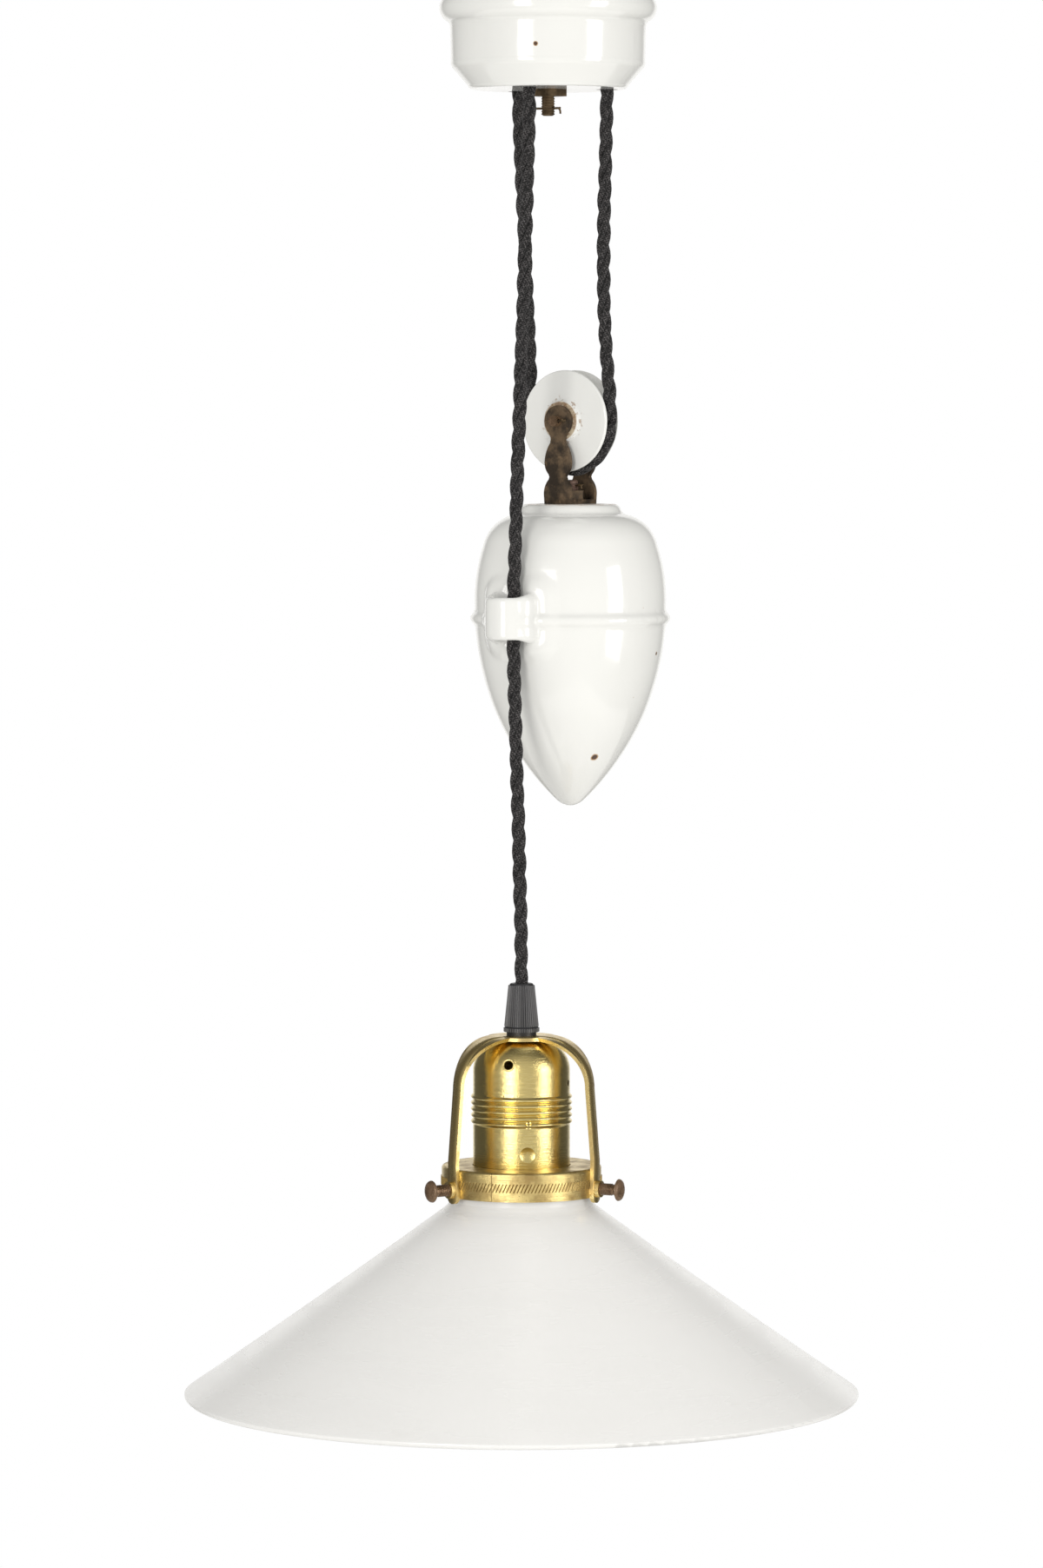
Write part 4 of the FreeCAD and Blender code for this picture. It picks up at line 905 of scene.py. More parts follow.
class Repeater:
    """A Geometry Nodes tree that lays out copies of a part and makes them one mesh."""

    def __init__(self, layout: Repeat) -> None:
        """Build the tree for one layout, with named inputs for its sizes.

        Args:
            layout: How the copies are laid out.
        """
        self.group = bpy.data.node_groups.new(f"repeat_{layout.value}", "GeometryNodeTree")
        tree, face = Tree(self.group), self.group.interface
        inputs = {"Geometry": "Geometry", "Part": "Object", "Count": "Int", "Size": "Float"}
        self.sockets = {
            name: face.new_socket(name, in_out="INPUT", socket_type=f"NodeSocket{kind}").identifier
            for name, kind in (inputs | {"Material": "Material"}).items()
        }
        face.new_socket("Geometry", in_out="OUTPUT", socket_type="NodeSocketGeometry")
        given = tree.node("NodeGroupInput").outputs
        part = tree.node("GeometryNodeObjectInfo", None, {"Object": given["Part"]})
        placing = {"Instance": part.outputs["Geometry"]}
        if layout is Repeat.ROUND:
            sizes = {"Vertices": given["Count"], "Radius": given["Size"]}
            placing["Points"] = tree.node("GeometryNodeMeshCircle", None, sizes).outputs["Mesh"]
            way = {"Vector": tree.node("GeometryNodeInputPosition").outputs["Position"]}
            axes = {"axis": "X", "pivot_axis": "Z"}
            out = tree.node("FunctionNodeAlignRotationToVector", axes, way)
            placing["Rotation"] = out.outputs["Rotation"]
        else:
            step = tree.node("ShaderNodeCombineXYZ", None, {"Z": given["Size"]})
            sizes = {"Count": given["Count"], "Offset": step.outputs[0]}
            placing["Points"] = tree.node("GeometryNodeMeshLine", None, sizes).outputs["Mesh"]
        copies = tree.node("GeometryNodeInstanceOnPoints", None, placing).outputs["Instances"]
        plain = tree.node("GeometryNodeRealizeInstances", None, {"Geometry": copies})
        paint = {"Geometry": plain.outputs["Geometry"], "Material": given["Material"]}
        painted = tree.node("GeometryNodeSetMaterial", None, paint)
        tree.node("NodeGroupOutput", None, {"Geometry": painted.outputs["Geometry"]})

    def lay(
        self,
        part: bpy.types.Mesh,
        count: int,
        size: float,
        material: bpy.types.Material,
        placed: Matrix,
    ) -> bpy.types.Mesh:
        """Copies of a part as one plain mesh.

        Args:
            part: The part's mesh, with +X outwards in a ring and +Z along a stack.
            count: How many copies.
            size: The ring's radius or the stack's pitch.
            material: Their material.
            placed: Where the layout's own origin and axes lie in the row frame.

        Returns:
            The mesh, in the row frame.
        """
        part_object = stood("part", part)
        host = stood("host", bpy.data.meshes.new("host"))
        modifier = host.modifiers.new("layout", "NODES")
        modifier.node_group = self.group
        values = {"Part": part_object, "Count": count, "Size": size, "Material": material}
        for name, value in values.items():
            modifier[self.sockets[name]] = value
        mesh = baked(host)
        bpy.data.objects.remove(part_object)
        if mesh.materials[0] is None:
            mesh.materials.pop(index=0)
        mesh.transform(placed)
        return mesh


@dataclass
class Workshop:
    """What every sub-assembly is made with: the finishes and the two kinds of repeat."""

    wardrobe: Wardrobe = field(default_factory=Wardrobe)
    rounds: Repeater = field(default_factory=lambda: Repeater(Repeat.ROUND))
    stacks: Repeater = field(default_factory=lambda: Repeater(Repeat.STACK))

    def put(
        self, name: str, mesh: bpy.types.Mesh, body: str, slot: str, finish: Any, *stands_for: str
    ) -> None:
        """Make, place and dress one piece, and report it.

        Args:
            name: The piece's name.
            mesh: Its mesh, in the row frame.
            body: The CAD body it moves with.
            slot: The record's material slot; not used.
            finish: Its finish.
            stands_for: The CAD nodes it replaces.
        """
        piece = piece_from(name, mesh, body)
        if stands_for:
            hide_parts(*stands_for)
        self.wardrobe.dress(piece, finish)
        log.info("%s: %d faces", name, len(mesh.polygons))


# --------------------------------------------------------------------------------------------
# Flex


@dataclass(frozen=True)
class Stretch:
    """One piece of the flex, between two heights of its way along the route."""

    name: str
    start: float
    end: float
    replaces: tuple[str, ...]
    bodies: tuple[str, ...]
    blend_from: Point = (0.0, 0.0, 0.0)
    blend_to: Point = (0.0, 0.0, 0.0)


@dataclass
class TwistedFlex:
    """Three braided cores twisted together, on one route from the terminals to the lampholder."""

    shop: Workshop
    route: tuple[Point, ...] = (
        (18.5, -2.0, -20.0),
        (18.5, 5.0, -20.0),
        (18.5, 14.6, -20.0),
        (18.5, 14.6, -32.5),
        (18.4, 14.5, -50.0),
        (17.4, 14.2, -82.0),
        (17.0, 14.4, -118.0),
        (17.9, 15.3, -143.0),
        (19.13, 16.33, -158.2),
        (19.13, 16.33, -175.75),
        (7.92, 17.31, -187.0),
        (-7.92, 18.69, -187.0),
        (-19.13, 19.67, -175.75),
        (-19.13, 19.67, -148.6),
        (-19.5, 10.8, -51.4),
        (-19.5, 10.8, -32.5),
        (-19.5, 10.8, -12.19),
        (-16.28, 6.48, -6.8),
        (-1.72, -13.08, -6.8),
        (1.5, -17.4, -12.19),
        (1.5, -17.4, -32.5),
        (1.5, -17.4, -51.0),
        (-2.06, -23.88, -233.9),
        (-2.06, -23.88, -258.7),
        (-0.9, -21.9, -327.5),
        (0.0, -21.0, -373.5),
        (0.0, -21.0, -418.2),
    )
    core_radius: float = 1.34
    twist_radius: float = 1.46
    pitch: float = 27.0
    step: float = 0.9
    sides: int = 12
    cores: int = 3
    waver: tuple[tuple[float, float], ...] = ((0.16, 23.0), (0.12, 9.1), (0.05, 13.0))
    lap: float = 0.5
    floor: float = -32.5
    wheel: float = -167.8

    def line(self) -> np.ndarray:
        """Points along the route's smooth line, in millimetres, a step apart.

        Returns:
            One row of x, y and z for each point.
        """
        bent = baked(stood("route", smooth_curve("route", self.route, 24)))
        rough = np.array([v.co[:] for v in bent.vertices]) / MM
        along = np.concatenate([[0], np.cumsum(np.linalg.norm(np.diff(rough, axis=0), axis=1))])
        keep = np.concatenate([[True], np.diff(along) > 1e-6])
        wanted = np.arange(0.0, along[-1], self.step)
        return np.stack([np.interp(wanted, along[keep], rough[keep, i]) for i in range(3)], axis=1)

    def frames(self, line: np.ndarray) -> tuple[np.ndarray, np.ndarray, np.ndarray]:
        """Tangents and two normals that don't twist, at every point of a line.

        Args:
            line: The line's points.

        Returns:
            The tangents, and the two normals.
        """
        tangents = np.gradient(line, axis=0)
        tangents /= np.linalg.norm(tangents, axis=1)[:, None]
        normal = np.cross(tangents[0], (0.0, 0.0, 1.0))
        normals = []
        for tangent in tangents:
            normal = normal - tangent * (normal @ tangent)
            normal /= np.linalg.norm(normal)
            normals.append(normal)
        first = np.array(normals)
        return tangents, first, np.cross(tangents, first)

    def core(self, line: np.ndarray, index: int) -> tuple[np.ndarray, np.ndarray]:
        """The middle line of one core, and the way out from the flex's middle at each point.

        Args:
            line: The flex's middle line.
            index: Which core it is.

        Returns:
            The core's points and its ways out.
        """
        _, first, second = self.frames(line)
        way = np.arange(len(line)) * self.step
        (slow, long), (quick, short), (swelling, middling) = self.waver
        uneven = slow * np.sin(way / long + 1.3) + quick * np.sin(way / short + index * 2.1)
        angle = math.tau * (way / self.pitch + index / self.cores) + uneven
        out = first * np.cos(angle)[:, None] + second * np.sin(angle)[:, None]
        swell = self.twist_radius * (1 + swelling * np.sin(way / middling + index))
        return line + out * swell[:, None], out

    def mesh(self, name: str, line: np.ndarray, low: int, high: int) -> bpy.types.Mesh:
        """The cores between two points of the line, as closed tubes with a map in metres.

        Args:
            name: The mesh's name.
            line: The flex's middle line.
            low: The first point.
            high: The point after the last.

        Returns:
            The mesh, in metres.
        """
        vertices, faces, maps = [], [], []
        for index in range(self.cores):
            middle, out = self.core(line, index)
            tangent = np.gradient(middle, axis=0)
            tangent /= np.linalg.norm(tangent, axis=1)[:, None]
            out = out - tangent * np.sum(out * tangent, axis=1)[:, None]
            out /= np.linalg.norm(out, axis=1)[:, None]
            side = np.cross(tangent, out)
            base, rings = len(vertices), high - low
            for k in range(low, high):
                for j in range(self.sides):
                    angle = math.tau * j / self.sides
                    offset = out[k] * math.cos(angle) + side[k] * math.sin(angle)
                    vertices.append(tuple((middle[k] + offset * self.core_radius) * MM))
            for k in range(rings - 1):
                for j in range(self.sides):
                    n = (j + 1) % self.sides
                    ring = base + k * self.sides
                    faces.append((ring + j, ring + n, ring + self.sides + n, ring + self.sides + j))
                    u = [(low + k) * self.step * MM, (low + k + 1) * self.step * MM]
                    v = [j / self.sides, (j + 1) / self.sides]
                    maps += [(u[0], v[0]), (u[0], v[1]), (u[1], v[1]), (u[1], v[0])]
            for ring, order in ((0, -1), (rings - 1, 1)):
                cap = [base + ring * self.sides + j for j in range(self.sides)][::order]
                faces.append(tuple(cap))
                maps += [((low + ring) * self.step * MM, 0.0)] * self.sides
        mesh = bpy.data.meshes.new(name)
        mesh.from_pydata(vertices, [], faces)
        mesh.uv_layers.new(name="strand").data.foreach_set("uv", np.array(maps, np.float32).ravel())
        return mesh

    def stretches(self, line: np.ndarray) -> list[Stretch]:
        """Where the route is cut into pieces, as indexes of the line.

        Args:
            line: The flex's middle line.

        Returns:
            The five stretches, in order.
        """
        heights = line[:, 2]
        floor, wheel = (
            [i for i in range(1, len(line)) if (heights[i - 1] - z) * (heights[i] - z) <= 0]
            for z in (self.floor, self.wheel)
        )
        last = len(line)
        tail, weight, lamp = (0.0185, 0.0146), (0.01913, 0.01633), LAMP_AXIS[:2]
        return [
            Stretch(
                "fixed_run_cores",
                0,
                wheel[0],
                ("flex_fixed_tail", "flex_fixed_run"),
                ("ceiling_fitting", "counterweight"),
                (*tail, -0.0175),
                (*tail, -0.1778),
            ),
            Stretch("pulley_cores", wheel[0], wheel[1], ("flex_round_pulley",), ("counterweight",)),
            Stretch(
                "return_run_cores",
                wheel[1],
                floor[1],
                ("flex_return_run",),
                ("ceiling_fitting", "counterweight"),
                (*weight, -0.0250),
                (*weight, -0.1778),
            ),
            Stretch(
                "roller_cores", floor[1], floor[2], ("flex_over_rollers",), ("ceiling_fitting",)
            ),
            Stretch(
                "lamp_run_cores",
                floor[2],
                last,
                ("flex_lamp_run", "flex_lamp_tail"),
                ("ceiling_fitting", "lamp"),
                (*lamp, -0.0325),
                (*lamp, -0.3896),
            ),
        ]

    def build(self) -> None:
        """Make, place and dress every stretch, and hide the CAD nodes it replaces."""
        line = self.line()
        laps = round(self.lap / self.step)
        for stretch in self.stretches(line):
            low, high = max(0, stretch.start - laps), min(len(line), stretch.end + laps + 1)
            mesh = shade(self.mesh(stretch.name, line, low, high), 60.0)
            if len(stretch.bodies) == 1:
                piece = piece_from(stretch.name, mesh, stretch.bodies[0])
            else:
                piece = stood(stretch.name, mesh)
                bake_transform(piece)
            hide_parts(*stretch.replaces)
            self.shop.wardrobe.dress(piece, COTTON)


# --------------------------------------------------------------------------------------------
# Threads and pins


@dataclass(frozen=True)
class Thread:
    """The crests of a screw thread on a plain rod."""

    name: str
    radius: float
    pitch: float
    length: float
    foot: Point
    turn: Matrix
    body: str
    slot: str
    finish: Any
    proud: float = 0.26

    def build(self, shop: Workshop) -> None:
        """Stack the crests along the rod.

        Args:
            shop: Its finishes and repeats.
        """
        crest = turned(
            "crest",
            [
                (self.radius - 0.05, -self.pitch * 0.4),
                (self.radius + self.proud, -self.pitch * 0.1),
                (self.radius + self.proud, self.pitch * 0.1),
                (self.radius - 0.05, self.pitch * 0.4),
            ],
            36,
        )
        placed = Matrix.Translation(metres(*self.foot)) @ self.turn.to_4x4()
        count = int(self.length / self.pitch)
        paint = shop.wardrobe.material(self.finish)
        mesh = shop.stacks.lay(crest, count, self.pitch * MM, paint, placed)
        shop.put(self.name, shade(mesh, 25.0), self.body, self.slot, self.finish)


@dataclass(frozen=True)
class SplitPin:
    """A bent wire pin: a round eye and two legs, one longer and curled."""

    name: str
    node: str
    at: Point
    yaw: float
    half: float
    body: str
    wire: float = 0.42
    eye: float = 1.35
    drop: float = 1.0

    def build(self, shop: Workshop) -> None:
        """Bend the wire and put it through its hole.

        Args:
            shop: Its finishes and repeats.
        """
        e, h, w, d = self.eye, self.half, self.wire * 0.8, self.drop
        back, end = -h - e * 0.8, h + 2.3
        eye = [(-h, w, 0), (back, e, 0), (-h - e * 2, 0.1, 0), (back, -e, 0), (-h, -w, 0)]
        short = [(h, w, 0), (h + 0.9, 0.9, 0.1), (h + 1.3, 2.2, 0.3)]
        curl = [(h, -w, 0), (h + 1.2, -0.5, 0.2), (end, -0.6, -0.6 * d), (end, -0.7, -2.2 * d)]
        curve = smooth_curve(self.name, short[::-1] + eye + curl, 8)
        curve.bevel_depth = self.wire * MM
        curve.bevel_resolution = 2
        curve.use_fill_caps = True
        mesh = baked(stood(self.name, curve))
        mesh.transform(Matrix.Translation(metres(*self.at)) @ Matrix.Rotation(self.yaw, 4, "Z"))
        outward(mesh)
        shop.put(self.name, shade(mesh, 60.0), self.body, "rusty_iron", FITTING_IRON, self.node)


# --------------------------------------------------------------------------------------------
# Sub-assemblies


@dataclass
class CeilingFitting:
    """The cup's stud end below its square nut."""

    shop: Workshop
    stud_radius: float = 2.4
    nut_foot: float = -39.7
    stud_end: float = -47.4
    pitch: float = 1.0
    lead: float = 0.7
    gap: float = 0.6
    pin_share: float = 0.62
    pin_heading: float = 12.0
    pin_half: float = 3.0
    body: str = "ceiling_fitting"

    def build(self) -> None:
        """Thread the stud and bend its pin."""
        length = self.nut_foot - self.stud_end - self.gap
        foot = (0.0, 0.0, self.stud_end + self.lead)
        size, turn, body = (self.stud_radius, self.pitch, length), Matrix.Identity(3), self.body
        Thread("stud_thread", *size, foot, turn, body, "rusty_iron", FITTING_IRON).build(self.shop)
        pin = (0.0, 0.0, self.nut_foot - (self.nut_foot - self.stud_end) * self.pin_share)
        heading = math.radians(self.pin_heading)
        half = self.pin_half
        SplitPin("cup_pin_wire", "cup_split_pin", pin, heading, half, body).build(self.shop)


@dataclass
class Counterweight:
    """The glazed egg with its guide eye, and the small parts of its stem and axle."""

    shop: Workshop
    mouth: Point = (0.0, 18.0, -200.8)
    yaw: float = -5.0
    outline: tuple[Corner, ...] = (
        Corner(0.0, -120.6),
        Corner(5.2, -118.5, 7.5, Side.LEFT),
        Corner(29.9, -83.1, 108.0, Side.LEFT),
        Corner(38.1, -47.9, 112.0, Side.LEFT),
        Corner(38.1, -43.1, 2.45, Side.LEFT),
        Corner(34.8, -16.3, 70.0, Side.LEFT),
        Corner(21.2, -4.0, 16.0, Side.LEFT),
        Corner(20.4, -3.2, 0.8, Side.RIGHT),
        Corner(18.4, 0.0, 3.2, Side.LEFT),
        Corner(13.02, 0.0),
        Corner(13.02, -6.1),
        Corner(0.0, -6.1),
    )
    yoke_outline: tuple[Corner, ...] = (
        Corner(-6.4, 0.0),
        Corner(6.4, 0.0),
        Corner(6.4, 3.2),
        Corner(3.7, 10.2, 8.0, Side.LEFT),
        Corner(3.7, 11.4, 0.8, Side.RIGHT),
        Corner(6.1, 17.0, 6.5, Side.LEFT),
        Corner(3.0, 24.82, 14.0, Side.LEFT),
        Corner(3.596, 27.95, 3.0, Side.RIGHT),
        Corner(6.2, 33.0, 6.2, Side.LEFT),
        Corner(0.0, 39.2, 6.2, Side.LEFT),
        Corner(-6.2, 33.0, 6.2, Side.LEFT),
        Corner(-3.596, 27.95, 6.2, Side.LEFT),
        Corner(-3.0, 24.82, 3.0, Side.RIGHT),
        Corner(-6.1, 17.0, 14.0, Side.LEFT),
        Corner(-3.7, 11.4, 6.5, Side.LEFT),
        Corner(-3.7, 10.2, 0.8, Side.RIGHT),
        Corner(-6.4, 3.2, 8.0, Side.LEFT),
    )
    eye_reach: float = 43.0
    eye_end_radius: float = 9.2
    eye_radius: float = 5.2
    eye_height: float = 16.9
    bead_drop: float = 44.6
    flow: float = 9.0
    voxel: float = 0.70
    smoothing: int = 14
    facet: float = 1.2
    tip_radius: float = 5.0
    shoulder: float = -4.0
    skin: float = 1.5
    bore_clear: tuple[float, float] = (0.6, 3.0)
    lug_root: float = -28.0
    lug_rounding: float = 1.3
    plate_middle: float = 8.4
    plate_thickness: float = 1.8
    plate_edge: float = 0.35
    base_half: float = 6.38
    base_gap: float = 0.02
    base_across: float = 15.2
    stem_radius: float = 3.0
    stem_pitch: float = 0.75
    stem_thread: tuple[float, float] = (5.6, 9.3)
    stem_pin_rise: float = 7.4
    axle_rise: float = 33.0
    axle_pin_reach: float = 11.16
    axle_pin_turn: float = -0.2
    body: str = "counterweight"

    @property
    def place(self) -> Matrix:
        """The counterweight's own frame: its mouth's centre, turned by its yaw."""
        turn = Matrix.Rotation(math.radians(self.yaw), 4, "Z")
        return Matrix.Translation(metres(*self.mouth)) @ turn

    def lug(self) -> bpy.types.Mesh:
        """The guide eye as an outline with a hole, raised and rounded at its edges.

        Returns:
            Its mesh, in the counterweight's own frame.
        """
        curve = bpy.data.curves.new("lug", "CURVE")
        curve.dimensions = "2D"
        curve.fill_mode = "BOTH"
        rounding = self.lug_rounding
        curve.extrude = (self.eye_height / 2 - rounding) * MM
        curve.bevel_depth = rounding * MM
        curve.bevel_resolution = 4
        end, bore = self.eye_end_radius - rounding, self.eye_radius + rounding
        outer = [(end, self.lug_root), (-end, self.lug_root)]
        outer += [
            (end * math.cos(a), -self.eye_reach + end * math.sin(a))
            for a in np.linspace(-math.pi, 0.0, 33)
        ]
        hole = [
            (bore * math.cos(a), -self.eye_reach + bore * math.sin(a))
            for a in np.linspace(0.0, math.tau, 48, endpoint=False)
        ]
        for loop in (outer, hole):
            spline = curve.splines.new("POLY")
            spline.points.add(len(loop) - 1)
            for point, (x, y) in zip(spline.points, loop):
                point.co = (x * MM, y * MM, 0.0, 1.0)
            spline.use_cyclic_u = True
        mesh = baked(stood("lug", curve))
        mesh.transform(Matrix.Translation(metres(0, 0, -self.bead_drop)))
        return mesh

    def off_lug(self, points: np.ndarray) -> np.ndarray:
        """How far points lie off the guide eye's outside, in millimetres.

        Args:
            points: One row of x, y and z for each point.

        Returns:
            Their distances, negative inside it.
        """
        x, y, z = points.T
        end = np.clip(y, -self.eye_reach, self.lug_root)
        aside = np.hypot(x, y - end) - self.eye_end_radius + self.lug_rounding
        above = np.abs(z + self.bead_drop) - self.eye_height / 2 + self.lug_rounding
        outside = np.hypot(np.maximum(aside, 0.0), np.maximum(above, 0.0))
        return np.minimum(np.maximum(aside, above), 0.0) + outside - self.lug_rounding

    def fill_corner(self, mesh: bpy.types.Mesh) -> None:
        """Swell a mesh where the guide eye meets the body, as the glaze and clay flow there.

        Args:
            mesh: The two forms as one surface, in the counterweight's own frame.
        """
        flat = np.empty(len(mesh.vertices) * 3, np.float32)
        mesh.vertices.foreach_get("co", flat)
        points = flat.reshape(-1, 3).astype(float) / MM
        outline = np.array(traced(self.outline, self.facet))
        outline = outline[(outline[:, 0] > self.tip_radius) & (outline[:, 1] < self.shoulder)]
        radius = np.hypot(points[:, 0], points[:, 1])
        body = radius - np.interp(points[:, 2], outline[:, 1], outline[:, 0])
        lug = self.off_lug(points)
        share = np.clip(0.5 + 0.5 * (lug - body) / self.flow, 0.0, 1.0)
        step = 0.05
        rise = np.stack([self.off_lug(points + s) - lug for s in np.eye(3) * step], axis=1) / step
        out = np.stack([points[:, 0] / radius, points[:, 1] / radius, 0 * radius], axis=1)
        way = out * share[:, None] + rise * (1 - share)[:, None]
        way /= np.maximum(np.linalg.norm(way, axis=1), 1e-6)[:, None]
        hole = np.hypot(points[:, 0], points[:, 1] + self.eye_reach) - self.eye_radius
        low, high = self.bore_clear
        clear = np.clip((hole - low) / (high - low), 0.0, 1.0)
        near = (body > -self.skin) & (points[:, 1] < 0)
        push = self.flow * share * (1 - share) * clear * near
        moved = points + way * push[:, None]
        mesh.vertices.foreach_set("co", (moved * MM).astype(np.float32).ravel())

    def yoke(self) -> None:
        """The yoke whole: two waisted plates with round heads about the axle, and their base."""
        shape = bmesh.new()
        plate, thick = traced(self.yoke_outline, 0.6), self.plate_thickness
        blocks = [(plate, side * self.plate_middle, thick) for side in (-1, 1)]
        half, gap = self.base_half, self.base_gap
        base = [(-half, gap), (half, gap), (half, thick), (-half, thick)]
        blocks.append((base, 0.0, self.base_across))
        for loop, middle, thick in blocks:
            rims = []
            for y in (middle - thick / 2, middle + thick / 2):
                rims.append([shape.verts.new((x * MM, y * MM, z * MM)) for x, z in loop])
            caps = [shape.faces.new(rim) for rim in rims]
            for i in range(len(loop)):
                k = (i + 1) % len(loop)
                shape.faces.new((rims[0][i], rims[0][k], rims[1][k], rims[1][i]))
            if middle:
                edges = list({edge for cap in caps for edge in cap.edges})
                rounding = {"offset": self.plate_edge * MM, "segments": 2, "profile": 0.5}
                bmesh.ops.bevel(shape, geom=edges, affect="EDGES", **rounding)
        bmesh.ops.recalc_face_normals(shape, faces=shape.faces)
        mesh = bpy.data.meshes.new("yoke_plates")
        shape.to_mesh(mesh)
        shape.free()
        mesh.transform(self.place)
        self.shop.put("yoke_plates", shade(mesh, 35.0), self.body, "rusty_iron", YOKE_IRON, "yoke")

    def egg(self) -> bpy.types.Mesh:
        """The body and the guide eye flowed into one glazed surface.

        Returns:
            Its mesh, in the row frame.
        """
        body = turned("egg", traced(self.outline, self.facet), 160)
        shape = bmesh.new()
        shape.from_mesh(body)
        shape.from_mesh(self.lug())
        shape.to_mesh(body)
        shape.free()
        host = stood("egg", body)
        remesh = host.modifiers.new("flow", "REMESH")
        remesh.mode = "VOXEL"
        remesh.voxel_size = self.voxel * MM
        flowed = baked(host)
        self.fill_corner(flowed)
        host = stood("egg", flowed)
        soften = host.modifiers.new("soften", "SMOOTH")
        soften.factor = 0.5
        soften.iterations = self.smoothing
        mesh = baked(host)
        mesh.transform(self.place)
        mesh.shade_smooth()
        return mesh

    def build(self) -> None:
        """Make the egg and the yoke, thread the stem and bend the two pins."""
        body, slot = self.body, "white_porcelain"
        self.shop.put("weight_egg", self.egg(), body, slot, WEIGHT_PORCELAIN, "weight_shell")
        self.yoke()
        (low, high), turn = self.stem_thread, self.place.to_3x3()
        size = (self.stem_radius, self.stem_pitch, high - low)
        foot = tuple(self.place @ metres(0, 0, low) / MM)
        Thread("stem_thread", *size, foot, turn, body, "rusty_iron", STEM_STEEL).build(self.shop)
        stem = tuple(self.place @ metres(0, 0, self.stem_pin_rise) / MM)
        axle = tuple(self.place @ metres(0, -self.axle_pin_reach, self.axle_rise) / MM)
        yaw = math.radians(self.yaw)
        for name, node, at, heading, half, drop in (
            ("stem_pin_wire", "stem_split_pin", stem, yaw, 3.6, 0.6),
            ("axle_pin_wire", "axle_split_pin", axle, yaw + self.axle_pin_turn, 2.7, -0.4),
        ):
            SplitPin(name, node, at, heading, half, body, drop=drop).build(self.shop)


